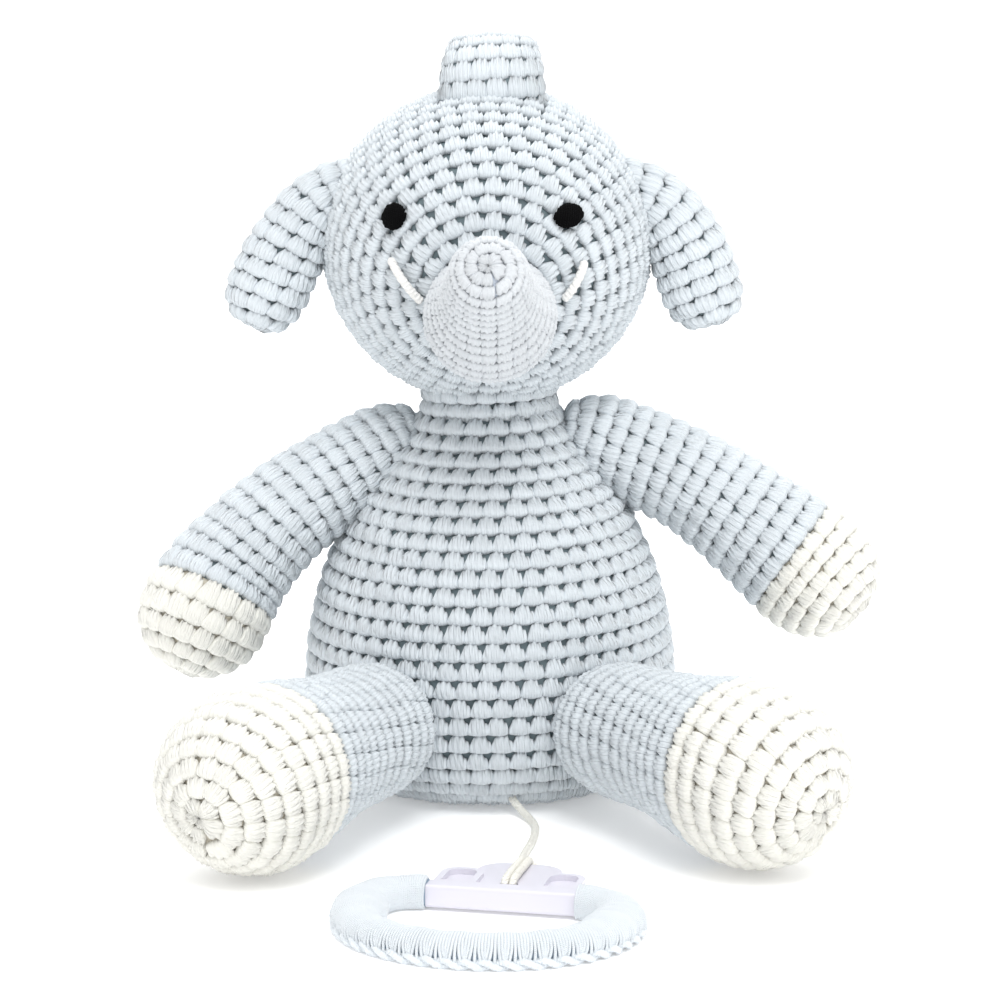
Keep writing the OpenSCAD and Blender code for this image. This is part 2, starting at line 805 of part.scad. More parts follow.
module bedplate() {
  color("gray") difference() {
    union() {
      in_case() intersection() {
        translate([-21.5, bed_front, -13.5]) cube([41, bed_t, 27.5]);
        translate([0, bed_front - 1, 0]) along_y() cylinder(r = case_in - part_gap, h = bed_t + 2);
      }
      block([lug_left, -3, arbor_z - 3.5], [lug_left + lug_t, bed_front + 0.1, arbor_z + 3.5]);
      block([lug_mid, -8.2, arbor_z - 3.5], [lug_mid + lug_t, bed_front + 0.1, fly_z + 2]);
      block([comb_x0, 1, comb_block_z0], [comb_x1, bed_front + 0.1, comb_top]);
    }
    rod(lug_left - 1, gear_plate_x, arbor_y, arbor_z, arbor_r);
    rod(lug_mid - 1, comb_x0, fly_y, fly_z, fly_r + run_gap);
    at_comb_screws() translate([0, 0, -1]) cylinder(r = comb_screw_r, h = 8);
    frame_screw_holes();
  }
}

module gear_plate() {
  color("silver") difference() {
    union() {
      block([gear_plate_x, -8.6, arbor_z - 3.5], [gear_plate_x + gear_plate_t, bed_front, fly_z + 2]);
      rod(comb_x1 + 0.6, gear_plate_x + 0.1, idler_y, idler_z, stud_r);
    }
    rod(0, gear_plate_x + 3, arbor_y, arbor_z, arbor_r);
    rod(gear_plate_x - 1, gear_plate_x + 3, fly_y, fly_z, fly_r + run_gap);
  }
}

module main_arbor() color("gray") rod(lug_left, gear_plate_x + gear_plate_t, arbor_y, arbor_z, arbor_r);

// ---- Movement: comb ----

tooth_count = 18;
tooth_gap = 0.25;

module at_comb_screws() {
  for (x = comb_screw_x) in_case() translate([x, 0, comb_screw_z]) along_y() children();
}

module comb() {
  pitch = (comb_x1 - comb_x0) / tooth_count;
  color("lightgray") difference() {
    union() {
      block([comb_x0, -1, 8], [comb_x1, 1, comb_top]);
      in_case() translate([0, 0.25, 0]) rotate([90, 0, 0]) linear_extrude(height = 0.5)
        for (i = [0 : tooth_count - 1])
          translate([comb_x0 + i * pitch + tooth_gap / 2, comb_z0]) square([pitch - tooth_gap, 8.5 - comb_z0]);
    }
    at_comb_screws() translate([0, 0, -2]) cylinder(r = comb_screw_r, h = 4);
  }
}

module comb_screws() {
  color("silver") at_comb_screws() {
    translate([0, 0, -2]) cylinder(r = 1.5, h = 1);
    translate([0, 0, -1]) cylinder(r = comb_screw_r, h = 7);
  }
}

// ---- Movement: turning pieces ----

// A spur gear along X whose tooth at angle phase points the way phase does, seen along X.
module gear(x0, x1, y, z, n, phase) {
  p = 360 / n;
  r0 = gear_m * (n / 2 - 1.2);
  r1 = gear_m * (n / 2 + 0.75);
  in_case() translate([x0, y, z]) along_x() linear_extrude(height = x1 - x0) polygon([
    for (i = [0 : n - 1])
      for (q = [[r0, -0.27], [r1, -0.12], [r1, 0.12], [r0, 0.27]])
        q[0] * [cos(phase + (i + q[1]) * p), sin(phase + (i + q[1]) * p)]
  ]);
}

wheel_x = comb_x1 + 0.8;
wheel_t = 1.4;
idler_wheel_x = wheel_x + 2.4;
idler_wheel_t = 1.2;
pin_rows = 9;
pins_per_row = 5;
pin_r = 0.22;
pin_h = 0.7;

module pin_cylinder() {
  pitch = (comb_x1 - comb_x0) / tooth_count;
  color("goldenrod") difference() {
    union() {
      rod(comb_x0 - 0.2, comb_x1 + 0.2, arbor_y, arbor_z, cylinder_r);
      rod(comb_x1, wheel_x + wheel_t, arbor_y, arbor_z, 3);
      gear(wheel_x, wheel_x + wheel_t, arbor_y, arbor_z, wheel_teeth, 180);
      for (i = [0 : pin_rows - 1])
        for (k = [0 : pins_per_row - 1])
          in_case() translate([comb_x0 + (2 * i + k % 2 + 0.5) * pitch, arbor_y, arbor_z])
            rotate([360 * (k / pins_per_row + 0.37 * i), 0, 0]) cylinder(r = pin_r, h = cylinder_r + pin_h);
    }
    rod(-20, 20, arbor_y, arbor_z, arbor_r + run_gap);
  }
}

flange_r = 9;
flange_t = 0.8;
drum_w = 4.4;

module cord_drum() {
  left = drum_x - drum_w / 2;
  right = drum_x + drum_w / 2;
  color("whitesmoke") difference() {
    union() {
      rod(spring_x, left, arbor_y, arbor_z, 2);
      rod(left - flange_t, left, arbor_y, arbor_z, flange_r);
      rod(left - 0.1, right + 0.1, arbor_y, arbor_z, drum_r);
      rod(right, right + flange_t, arbor_y, arbor_z, flange_r);
    }
    rod(-25, 0, arbor_y, arbor_z, arbor_r + run_gap);
  }
}

spring_x = lug_left + lug_t + 0.8;
spring_w = 2.8;
spring_turns = 5;
spring_r0 = 2.4;
spring_r1 = 6.2;
spring_t = 0.25;
cup_r = 7.2;
cup_wall = 0.6;

module spring_cup() {
  color("silver") difference() {
    rod(lug_left + lug_t, spring_x + spring_w + 0.3, arbor_y, arbor_z, cup_r);
    rod(lug_left + lug_t + cup_wall, spring_x + spring_w + 1, arbor_y, arbor_z, cup_r - cup_wall);
    rod(lug_left, spring_x, arbor_y, arbor_z, arbor_r);
  }
}

function spiral(side) = [
  for (i = [0 : 20 * spring_turns])
    let (w = 18 * i, r = spring_r0 + (spring_r1 - spring_r0) * i / (20 * spring_turns) + side * spring_t / 2)
      r * [cos(w), sin(w)]
];

module return_spring() {
  color("gray") in_case() translate([spring_x, arbor_y, arbor_z]) along_x() linear_extrude(height = spring_w)
    polygon(concat(spiral(-1), reversed(spiral(1))));
}

fly_angle = atan2(fly_y - idler_y, -(fly_z - idler_z));

module idler_gear() {
  color("whitesmoke") difference() {
    union() {
      gear(wheel_x, wheel_x + wheel_t, idler_y, idler_z, pinion_teeth, 180 / pinion_teeth);
      gear(idler_wheel_x, idler_wheel_x + idler_wheel_t, idler_y, idler_z, idler_teeth, fly_angle);
      rod(wheel_x + wheel_t - 0.1, idler_wheel_x + 0.1, idler_y, idler_z, 1.4);
      rod(idler_wheel_x + idler_wheel_t - 0.1, gear_plate_x - part_gap, idler_y, idler_z, 1.4);
    }
    rod(wheel_x - 1, gear_plate_x, idler_y, idler_z, stud_r + run_gap);
  }
}

vane_r = 3;

module governor_fly() {
  color("whitesmoke") {
    rod(lug_mid + lug_t / 2, gear_plate_x + gear_plate_t, fly_y, fly_z, fly_r);
    gear(
      idler_wheel_x, idler_wheel_x + idler_wheel_t, fly_y, fly_z, fly_teeth,
      fly_angle + 180 + 180 / fly_teeth
    );
    rod(0.5, 8.5, fly_y, fly_z, 1);
    in_case() translate([1, fly_y - vane_r, fly_z - 0.3]) cube([7, 2 * vane_r, 0.6]);
  }
}

body_cover();
body_stuffing();
neck_seam();
neck_stuffing();
head_cover();
head_stuffing();
eye(RIGHT);  // eye_right
eye(LEFT);  // eye_left
cheek_stitch(RIGHT);  // cheek_stitch_right
cheek_stitch(LEFT);  // cheek_stitch_left
hanging_loop();
trunk_cover();
trunk_stuffing();
ear_cover(RIGHT);  // ear_right
ear_cover(LEFT);  // ear_left
ear_stuffing(RIGHT);  // ear_stuffing_right
ear_stuffing(LEFT);  // ear_stuffing_left
arm_sleeve(RIGHT);  // arm_right
arm_sleeve(LEFT);  // arm_left
hand(RIGHT);  // hand_right
hand(LEFT);  // hand_left
arm_filling(RIGHT);  // arm_stuffing_right
arm_filling(LEFT);  // arm_stuffing_left
leg_sleeve(RIGHT);  // leg_right
leg_sleeve(LEFT);  // leg_left
foot(RIGHT);  // foot_right
foot(LEFT);  // foot_left
leg_filling(RIGHT);  // leg_stuffing_right
leg_filling(LEFT);  // leg_stuffing_left
pull_cord();
cord_knot();
cord_loop();
pull_ring();
ring_cover();
cord_inside();
cord_grommet();
case_front();
case_rear();
case_screws();
bedplate();
gear_plate();
main_arbor();
comb();
comb_screws();
frame_screws();
pin_cylinder();
cord_drum();
spring_cup();
return_spring();
idler_gear();
governor_fly();
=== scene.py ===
"""Looks of a crocheted musical elephant: yarn covers worked stitch by stitch, thread, cord and pull ring."""

import json
import logging
import math
from dataclasses import dataclass, field
from enum import Enum
from typing import Optional, Sequence

import bpy
import numpy as np
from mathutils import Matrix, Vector

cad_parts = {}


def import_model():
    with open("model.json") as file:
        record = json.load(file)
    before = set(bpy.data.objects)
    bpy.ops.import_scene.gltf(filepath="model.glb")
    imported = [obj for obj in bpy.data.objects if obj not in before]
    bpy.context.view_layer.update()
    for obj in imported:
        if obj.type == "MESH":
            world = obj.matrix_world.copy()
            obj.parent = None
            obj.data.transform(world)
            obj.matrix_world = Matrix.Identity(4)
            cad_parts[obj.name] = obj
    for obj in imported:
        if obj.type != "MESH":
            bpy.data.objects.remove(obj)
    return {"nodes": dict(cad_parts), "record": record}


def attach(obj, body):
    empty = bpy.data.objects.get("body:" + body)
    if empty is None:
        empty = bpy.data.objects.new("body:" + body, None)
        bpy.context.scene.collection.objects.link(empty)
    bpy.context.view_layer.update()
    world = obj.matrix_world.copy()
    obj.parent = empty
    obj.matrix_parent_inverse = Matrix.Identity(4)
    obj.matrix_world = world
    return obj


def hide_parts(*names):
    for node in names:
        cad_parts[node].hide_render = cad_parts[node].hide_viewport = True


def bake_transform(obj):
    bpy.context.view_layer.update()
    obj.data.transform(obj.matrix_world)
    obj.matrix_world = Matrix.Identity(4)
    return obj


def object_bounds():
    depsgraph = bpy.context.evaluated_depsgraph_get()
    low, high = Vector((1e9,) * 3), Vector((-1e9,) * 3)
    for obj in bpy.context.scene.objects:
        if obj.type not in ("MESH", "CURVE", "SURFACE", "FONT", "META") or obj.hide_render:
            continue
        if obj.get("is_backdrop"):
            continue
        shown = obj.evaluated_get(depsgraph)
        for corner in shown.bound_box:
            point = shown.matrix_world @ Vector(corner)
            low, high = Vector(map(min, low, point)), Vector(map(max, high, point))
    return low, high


MM = 0.001
REST = 0.1 * MM  # the lowest that yarn lies, pressed flat by the toy's weight
TAU = 2.0 * math.pi
Array = np.ndarray
log = logging.getLogger("elephant")


class Side(Enum):
    """The toy's own sides, with the sign of their X."""

    RIGHT = -1
    LEFT = 1

    @property
    def word(self) -> str:
        """The side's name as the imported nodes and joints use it."""
        return self.name.lower()


# ---- Vectors and curves ----


def unit(v: Array) -> Array:
    """Vectors of length one along the given ones.

    Args:
        v: Vectors in the last axis.

    Returns:
        The vectors divided by their lengths.
    """
    v = np.asarray(v, dtype=float)
    return v / np.maximum(np.linalg.norm(v, axis=-1, keepdims=True), 1e-12)


def smooth_path(points: Sequence[Sequence[float]], steps: int = 12) -> Array:
    """A smooth line through chosen points: each span is the cubic set by its ends and their neighbours.

    Args:
        points: The points in order.
        steps: New points in each span.

    Returns:
        The line's points, one row each.
    """
    p = np.asarray(points, dtype=float)
    ext = np.vstack([2 * p[0] - p[1], p, 2 * p[-1] - p[-2]])
    a, b, c, d = ext[:-3, None], ext[1:-2, None], ext[2:-1, None], ext[3:, None]
    t = np.linspace(0, 1, steps, endpoint=False)[None, :, None]
    spans = 0.5 * (2 * b + (c - a) * t + (2 * a - 5 * b + 4 * c - d) * t**2 + (3 * b - a - 3 * c + d) * t**3)
    return np.vstack([spans.reshape(-1, p.shape[1]), p[-1:]])


def mm(points: Sequence[Sequence[float]]) -> Array:
    """Points given in millimetres as metres."""
    return np.asarray(points, dtype=float) * MM


def run_lengths(path: Array) -> Array:
    """The distance along a line to each of its points."""
    return np.concatenate([[0.0], np.cumsum(np.linalg.norm(np.diff(path, axis=0), axis=1))])


def resample(path: Array, count: int) -> Array:
    """The same line as evenly spaced points."""
    s = run_lengths(path)
    at = np.linspace(0, s[-1], count)
    return np.stack([np.interp(at, s, path[:, k]) for k in range(path.shape[1])], axis=1)


def carried_frames(path: Array, first: Array) -> tuple[Array, Array]:
    """Two directions square to a line, carried along it without turning about it.

    Args:
        path: The line's points.
        first: A direction to start from.

    Returns:
        The two directions at each point.
    """
    along = unit(np.gradient(path, axis=0))
    a = np.zeros_like(path)
    side = unit(first - along[0] * np.dot(first, along[0]))
    for i, t in enumerate(along):
        side = unit(side - t * np.dot(side, t))
        a[i] = side
    return a, np.cross(along, a)


# ---- Meshes ----


@dataclass
class Patch:
    """Points and faces ready to become a mesh.

    Each point may also have a place along its yarn (uv), a number that differs from yarn to yarn (tint), and
    how deep it lies between its neighbours, from 0 to 1, which sets the painted shade in the creases (crease).
    """

    points: Array
    faces: Array
    uv: Optional[Array] = None
    tint: Optional[Array] = None
    crease: Optional[Array] = None

    def __add__(self, other: "Patch") -> "Patch":
        """Both patches as one."""
        uv = None if self.uv is None or other.uv is None else np.vstack([self.uv, other.uv])
        tint = None if self.tint is None or other.tint is None else np.concatenate([self.tint, other.tint])
        faces = np.vstack([self.faces, other.faces + len(self.points)])
        deep = [np.zeros(len(p.points)) if p.crease is None else p.crease for p in (self, other)]
        return Patch(np.vstack([self.points, other.points]), faces, uv, tint, np.concatenate(deep))


def make_object(name: str, patch: Patch, material: "bpy.types.Material") -> "bpy.types.Object":
    """A mesh object at the origin from a patch.

    Args:
        name: The piece's name.
        patch: Its points and faces in metres.
        material: Its finish.

    Returns:
        The new object, in the scene.
    """
    mesh = bpy.data.meshes.new(name)
    three = patch.faces[:, 2] == patch.faces[:, 3]
    mesh.from_pydata(patch.points, [], patch.faces[~three].tolist() + patch.faces[three, :3].tolist())
    mesh.polygons.foreach_set("use_smooth", np.ones(len(mesh.polygons), dtype=bool))
    corner = np.empty(len(mesh.loops), dtype=np.int32)
    mesh.loops.foreach_get("vertex_index", corner)
    if patch.uv is not None:
        layer = mesh.uv_layers.new(name="yarn")
        layer.data.foreach_set("uv", patch.uv[corner].astype(np.float32).ravel())
    for key, values in (("tint", patch.tint), ("crease", patch.crease)):
        if values is not None:
            mesh.attributes.new(key, "FLOAT", "POINT").data.foreach_set("value", values.astype(np.float32))
    mesh.materials.append(material)
    mesh.validate()
    mesh.update()
    made = bpy.data.objects.new(name, mesh)
    bpy.context.scene.collection.objects.link(made)
    return made


def grid_faces(rows: int, cols: int) -> Array:
    """Faces between the points of a grid whose rows are closed loops, facing along columns x rows."""
    r, c = np.meshgrid(np.arange(rows - 1), np.arange(cols), indexing="ij")
    n = (c + 1) % cols
    corners = [r * cols + c, r * cols + n, (r + 1) * cols + n, (r + 1) * cols + c]
    return np.stack(corners, axis=-1).reshape(-1, 4)


def end_fans(rows: int, cols: int) -> Array:
    """Triangles that close both ends of a grid of closed rows, to two more points put after the grid's own."""
    k, n, base = np.arange(cols), (np.arange(cols) + 1) % cols, (rows - 1) * cols
    first = np.stack([np.full(cols, rows * cols), n, k, k], axis=1)
    last = np.stack([np.full(cols, rows * cols + 1), base + k, base + n, base + n], axis=1)
    return np.vstack([first, last])


def tube(
    path: Array,
    radius: float,
    sides: int = 8,
    plies: int = 0,
    lay: float = 3.0,
    depth: float = 0.12,
    taper: bool = True,
) -> Patch:
    """A closed yarn or cord along a line.

    Its section is a circle whose radius swells once for each ply, and the swellings turn about the line as it
    runs. The ends close to a point over one radius.

    Args:
        path: Evenly spaced points of the line.
        radius: Half the yarn's thickness.
        sides: Points round the section.
        plies: How many plies show, or 0 for a plain yarn.
        lay: Length in which the plies turn once, in diameters.
        depth: How far the swellings reach, as a part of the radius.
        taper: Whether the ends are rounded.

    Returns:
        The closed tube.
    """
    s = run_lengths(path)
    a, b = (v[:, None] for v in carried_frames(path, np.array([0.31, 0.17, 0.93])))
    turn = np.arange(sides) / sides * TAU
    r = np.full((len(path), sides), radius)
    if plies:
        twist = s[:, None] / (lay * 2 * radius) * TAU
        r = radius * (1 + depth * (np.abs(np.cos((turn[None] + twist) * plies / 2)) * 2 - 1))
    if taper:
        near = np.minimum(s, s[-1] - s)
        r = r * np.sqrt(np.clip(near * (2 * radius - np.minimum(near, radius)) / radius**2, 0, 1))[:, None]
    round_line = np.cos(turn)[None, :, None] * a + np.sin(turn)[None, :, None] * b
    pts = (path[:, None] + r[..., None] * round_line).reshape(-1, 3)
    faces = np.vstack([grid_faces(len(path), sides), end_fans(len(path), sides)])
    pts = np.vstack([pts, path[0], path[-1]])
    uv = np.stack(np.broadcast_arrays(s[:, None] / radius, turn[None] / TAU), axis=-1).reshape(-1, 2)
    uv = np.vstack([uv, [[0, 0]], [[s[-1] / radius, 0]]])
    return Patch(pts, faces, uv, np.zeros(len(pts)))


# ---- Shapes worked in rounds ----


@dataclass
class Form:
    """A closed surface round a bent line: a radius at each distance along the line, from one pole to the other.

    A point is addressed by its distance over the surface from the first pole and its turn about the line.
    """

    spine: Array
    stations: Sequence[tuple[float, float]]
    facing: Array = field(default_factory=lambda: np.array([1.0, 0.0, 0.0]))
    flat: float = 1.0
    inset: float = 0.0

    def __post_init__(self) -> None:
        """Works out the outline's own length and the line's frames."""
        line = resample(np.asarray(self.spine, float), 120)
        self._line = line
        self._at = run_lengths(line)
        self._a, self._b = carried_frames(line, self.facing)
        self._t = unit(np.gradient(line, axis=0))
        outline = smooth_path(self.stations, 16)
        outline[:, 1] = np.maximum(outline[:, 1], 0)
        d = unit(np.gradient(outline, axis=0))
        square = np.stack([-d[:, 1], d[:, 0]], axis=1)
        outline = outline - square * self.inset * np.sign(square[:, 1:2] + 1e-9)
        outline = outline[outline[:, 1] > -1e-9] if self.inset else outline
        shut = np.array([1.0, 0.0])
        outline = np.vstack([outline[:1] * shut, outline[outline[:, 1] > 1e-7], outline[-1:] * shut])
        self.outline = resample(np.maximum(outline, [-1, 0]), 400)
        self._s = run_lengths(self.outline)
        self.length = float(self._s[-1])

    def _along(self, rows: Array, z: Array) -> Array:
        """Vectors given at the line's points, read at distances along the line."""
        return np.stack([np.interp(z, self._at, rows[:, k]) for k in range(3)], axis=-1)

    def point(self, far: Array, turn: Array) -> Array:
        """Places on the surface.

        Args:
            far: Distances over the surface from the first pole.
            turn: Turns about the line, radians.

        Returns:
            The points, with the shape of the two given arrays and a last axis of three.
        """
        far, turn = np.broadcast_arrays(far, turn)
        z = np.interp(far, self._s, self.outline[:, 0])
        r = np.interp(far, self._s, self.outline[:, 1])
        over = z - np.clip(z, self._at[0], self._at[-1])
        a, b, t, middle = (self._along(rows, z) for rows in (self._a, self._b, self._t, self._line))
        ring = np.cos(turn)[..., None] * a + self.flat * np.sin(turn)[..., None] * b
        return middle + over[..., None] * t + r[..., None] * ring

    def place(self, far: Array, turn: Array, out: Array) -> Array:
        """Points lifted off the surface along its outward direction.

        The direction is the cross product of the surface's slopes round and along it.

        Args:
            far: Distances over the surface from the first pole.
            turn: Turns about the line, radians.
            out: Heights above the surface.

        Returns:
            The lifted points.
        """
        step = self.length * 2e-3
        low = np.clip(far - step, step, self.length - 3 * step)
        along = self.point(low + 2 * step, turn) - self.point(low, turn)
        safe = np.clip(far, 2 * step, self.length - 2 * step)
        across = self.point(safe, turn + 0.01) - self.point(safe, turn - 0.01)
        return self.point(far, turn) + unit(np.cross(across, along)) * np.asarray(out)[..., None]

    def girth(self, far: float) -> float:
        """The distance once round the surface."""
        ring = self.point(np.full(49, far), np.linspace(0, TAU, 49))
        return float(run_lengths(ring)[-1])

    def shell(
        self, out: float, rows: int, cols: int, start: float = 0.0, stop: Optional[float] = None
    ) -> Patch:
        """A closed skin at a height above or below the surface, its poles closed with fans.

        Args:
            out: The height.
            rows: Rings of points between the ends.
            cols: Points in each ring.
            start: Distance of the first ring from the first pole.
            stop: Distance of the last ring, or None for the second pole.

        Returns:
            The skin.
        """
        end = self.length if stop is None else stop
        far = np.linspace(max(start, self.length * 0.004), min(end, self.length * 0.996), rows)
        turn = np.arange(cols) / cols * TAU
        pts = self.place(far[:, None], turn[None], np.full((rows, cols), out)).reshape(-1, 3)
        pts[:, 2] = np.maximum(pts[:, 2], REST)
        last = (rows - 1) * cols
        poles = np.vstack([pts[:cols].mean(axis=0), pts[last:].mean(axis=0)])
        pts = np.vstack([pts, poles])
        faces = np.vstack([grid_faces(rows, cols), end_fans(rows, cols)])
        return Patch(pts, faces, np.zeros((len(pts), 2)), np.zeros(len(pts)))


# ---- Stitches ----


@dataclass(frozen=True)
class Stitch:
    """The shape of one crochet stitch: a puffed hump of plied yarn whose top tucks under the next round.

    Widths are parts of the stitch's width and heights parts of the round's height. The outline's top is highest
    in the middle and falls to the shoulders on both sides, so holes open between the humps of neighbours.
    """

    crown: float = 1.14
    shoulder: float = 0.46
    crown_left: float = -0.30
    crown_right: float = 0.04
    overlap: float = 0.53
    ridges: int = 4
    ridge: float = 0.10
    tooth: float = 0.085
    puff: float = 0.25
    body: float = 0.30
    lean: float = 0.12
    corner: float = 0.08
    sag: float = 0.06

    def template(self) -> tuple[Array, Array, Array]:
        """The closed stitch as points (across, up, out) and faces.

        Each column of points is a closed loop: up the front, over the top and down the back. The front rises
        fast from the base to its fullest at a third of the height and sinks to the crown. Every second column
        is a valley between two plies, deeper and shorter towards the top. The base sags in the middle and its
        corners are lifted.

        Returns:
            Points as parts of width, height and width, faces, and how deep each point lies from 0 to 1, which
            the yarn turns into painted crease shade.
        """
        cols = 2 * self.ridges + 1
        x = np.linspace(-self.overlap, self.overlap, cols)
        peak = (np.arange(cols) % 2).astype(float)
        left = np.clip((x + 0.5) / (self.crown_left + 0.5), 0, 1)
        right = np.clip((0.5 - x) / (0.5 - self.crown_right), 0, 1)
        hump = np.minimum(left, right) ** 0.85
        top = self.shoulder + (self.crown - self.shoulder) * hump + self.tooth * (2 * peak - 1)
        v = np.array([0.0, 0.09, 0.28, 0.56, 0.82, 1.0])
        rise = np.array([-0.45, 0.50, 1.0, 0.94, 0.62, 0.02])
        edge = np.abs(x / self.overlap)
        across = 1 - 0.42 * edge**2.6
        base = self.corner * edge**2.6 - self.sag * (1 - edge**2)
        y = base[None] + v[:, None] * (top - base)[None]
        fall = np.clip(1.15 - 0.55 * np.clip(y - 0.35, 0, None) / 0.8, 0.4, 1)
        grow = np.array([0.2, 0.4, 0.7, 1.0, 1.3, 0.8])
        z = self.puff * rise[:, None] * across[None] * fall
        z = z + self.ridge * grow[:, None] * (peak - 0.5)[None]
        back_y = np.stack([base + 0.80 * (top - base), base + 0.25 * (top - base)])
        back_z = np.full((2, cols), -self.body)
        ys, zs = np.vstack([y, back_y]), np.vstack([z, back_z])
        xs = np.broadcast_to(x, ys.shape) + self.lean * (np.clip(ys, 0, 1.2) - 0.4)
        pts = np.stack([xs, ys, zs], axis=-1)
        # how deep each point lies: the yarn darkens it there as painted shade in the creases
        low = 1 - np.clip(zs / (0.85 * self.puff), 0, 1)
        loop = len(ys)
        c, k = np.meshgrid(np.arange(cols - 1), np.arange(loop), indexing="ij")
        n = (k + 1) % loop
        corners = [k * cols + c, k * cols + c + 1, n * cols + c + 1, n * cols + c]
        faces = np.stack(corners, axis=-1).reshape(-1, 4)
        left_cap = np.array([[0, 1, 6, 7], [1, 2, 3, 6], [3, 4, 5, 6]]) * cols
        right_cap = np.array([[0, 7, 6, 1], [1, 6, 3, 2], [3, 6, 5, 4]]) * cols + cols - 1
        return pts.reshape(-1, 3), np.vstack([faces, left_cap, right_cap]), low.ravel()


@dataclass
class Crochet:
    """A cover worked in a spiral of stitches over a form.

    Attributes:
        form: The surface.
        stitch: The shape of its stitches.
        width: A stitch's width, metres.
        height: A round's height, metres.
        start: Distance from the first pole where the work begins.
        stop: Distance where it ends, or None for the second pole.
        drift: How far each round moves against the one before, in stitches.
        vary: How much the stitches differ in size.
        tilt: How far the rounds lean from one side to the other.
        seed: Start of the random draws.
        low_stitch: Another stitch for the first rounds.
        low_until: Distance where those rounds end.
    """

    form: Form
    stitch: Stitch = Stitch()
    width: float = 5.1 * MM
    height: float = 4.4 * MM
    start: float = 0.0
    stop: Optional[float] = None
    drift: float = 0.12
    vary: float = 0.05
    tilt: float = 0.0
    seed: int = 1
    low_stitch: Optional[Stitch] = None
    low_until: float = 0.0

    def rounds(self) -> list[tuple[float, int]]:
        """Each round's distance from the first pole and its stitches, in multiples of three."""
        end = self.form.length if self.stop is None else self.stop
        count = max(1, round((end - self.start) / self.height))
        rows = [self.start + i * (end - self.start) / count for i in range(count)]
        across = [self.form.girth(min(s + 0.55 * self.height, end)) / self.width for s in rows]
        return [(s, max(5, 3 * round(n / 3))) for s, n in zip(rows, across)]

    def make(self) -> Patch:
        """Every stitch of the cover.

        The rounds climb as one spiral: a stitch's distance grows by one round's height in each turn, and each
        round fills one turn and the drift, so that the next round begins where it ends.

        Returns:
            The stitches as one patch, each closed in itself.
        """
        shape, faces, deep = self.stitch.template()
        rng = np.random.default_rng(self.seed)
        end = self.form.length if self.stop is None else self.stop
        rows = self.rounds()
        high = (end - self.start) / len(rows)
        start, size, turn, tall = [], [], [], []
        begin = 0.25
        for i, (far, n) in enumerate(rows):
            j = np.arange(n)
            start.append(far + high * (j / n - 0.5) * (i > 0 or self.start > 0))
            tall.append(high * (0.5 + j / n if i == 0 and self.start == 0 else np.ones(n)))
            span = 1 + self.drift / n
            size.append(np.full(n, TAU * span / n))
            turn.append(TAU * (begin + span * j / n))
            begin += self.drift / n
        start, size, turn, tall = (np.concatenate(v) for v in (start, size, turn, tall))
        total = len(start)
        pts = np.broadcast_to(shape, (total, *shape.shape))
        if self.low_stitch:
            snug = (start < self.low_until)[:, None, None]
            pts = np.where(snug, self.low_stitch.template()[0][None], pts)
        jitter = rng.normal(0, self.vary, (total, 3))
        tall = tall * (1 + 0.6 * jitter[:, 0])
        if self.stop is None:
            tall = tall * np.clip((end - start) / high + 0.15, 0.3, 1)
        t = turn[:, None] + size[:, None] * (pts[..., 0] + 0.5 * jitter[:, 1:2])
        far = start[:, None] + tall[:, None] * pts[..., 1]
        far = far + self.tilt * np.sin(t) * np.interp(far, [0, 0.25 * end, 0.8 * end, end], [0, 1, 1, 0])
        far = np.clip(far, 0, self.form.length)
        knots = np.linspace(0, self.form.length, 160)
        ring = np.interp(far, knots, [self.form.girth(k) for k in knots])
        local = np.minimum(ring * size[:, None] / TAU, 1.15 * self.width)
        thick = 0.55 * self.width + 0.45 * local
        out = pts[..., 2] * thick * (1 + 1.5 * jitter[:, 2:3])
        placed = self.form.place(far, t, out)
        placed[..., 2] = np.maximum(placed[..., 2], REST)
        which = np.arange(total)[:, None, None] * len(shape) + faces[None]
        own = pts[..., 1] + 2.0 * np.arange(total)[:, None]
        uv = np.stack([pts[..., 0] * self.stitch.ridges, own], axis=-1)
        tint = np.broadcast_to(rng.random(total)[:, None], t.shape)
        low = np.broadcast_to(deep[None], t.shape)
        return Patch(
            placed.reshape(-1, 3), which.reshape(-1, 4), uv.reshape(-1, 2), tint.reshape(-1), low.reshape(-1)
        )


# ---- Finishes ----


class Expr:
    """One value inside a material, with arithmetic that adds the matching nodes."""

    def __init__(self, tree: "bpy.types.NodeTree", socket: "bpy.types.NodeSocket") -> None:
        """Wraps an output socket of a node tree."""
        self.tree = tree
        self.socket = socket

    @staticmethod
    def plug(tree: "bpy.types.NodeTree", value: object, target: "bpy.types.NodeSocket") -> None:
        """Feeds a value, an Expr or a plain number or colour, into an input."""
        if isinstance(value, Expr):
            tree.links.new(value.socket, target)
        else:
            target.default_value = value

    def math(self, kind: str, *others: object) -> "Expr":
        """A Math node of some kind on this value and others."""
        node = self.tree.nodes.new("ShaderNodeMath")
        node.operation = kind
        for target, value in zip(node.inputs, (self, *others)):
            Expr.plug(self.tree, value, target)
        return Expr(self.tree, node.outputs[0])

    def __add__(self, other: object) -> "Expr":
        """Sum."""
        return self.math("ADD", other)

    def __radd__(self, other: float) -> "Expr":
        """Sum."""
        return self.math("ADD", other)

    def __sub__(self, other: object) -> "Expr":
        """Difference."""
        return self.math("SUBTRACT", other)

    def __rsub__(self, other: float) -> "Expr":
        """Difference from a number."""
        return self.math("MULTIPLY", -1.0).math("ADD", other)

    def __mul__(self, other: object) -> "Expr":
        """Product."""
        return self.math("MULTIPLY", other)

    def __rmul__(self, other: float) -> "Expr":
        """Product."""
        return self.math("MULTIPLY", other)

    def __truediv__(self, other: object) -> "Expr":
        """Quotient."""
        return self.math("DIVIDE", other)

    def wave(self) -> "Expr":
        """A sine of this value, from 0 to 1."""
        return self.math("SINE") * 0.5 + 0.5


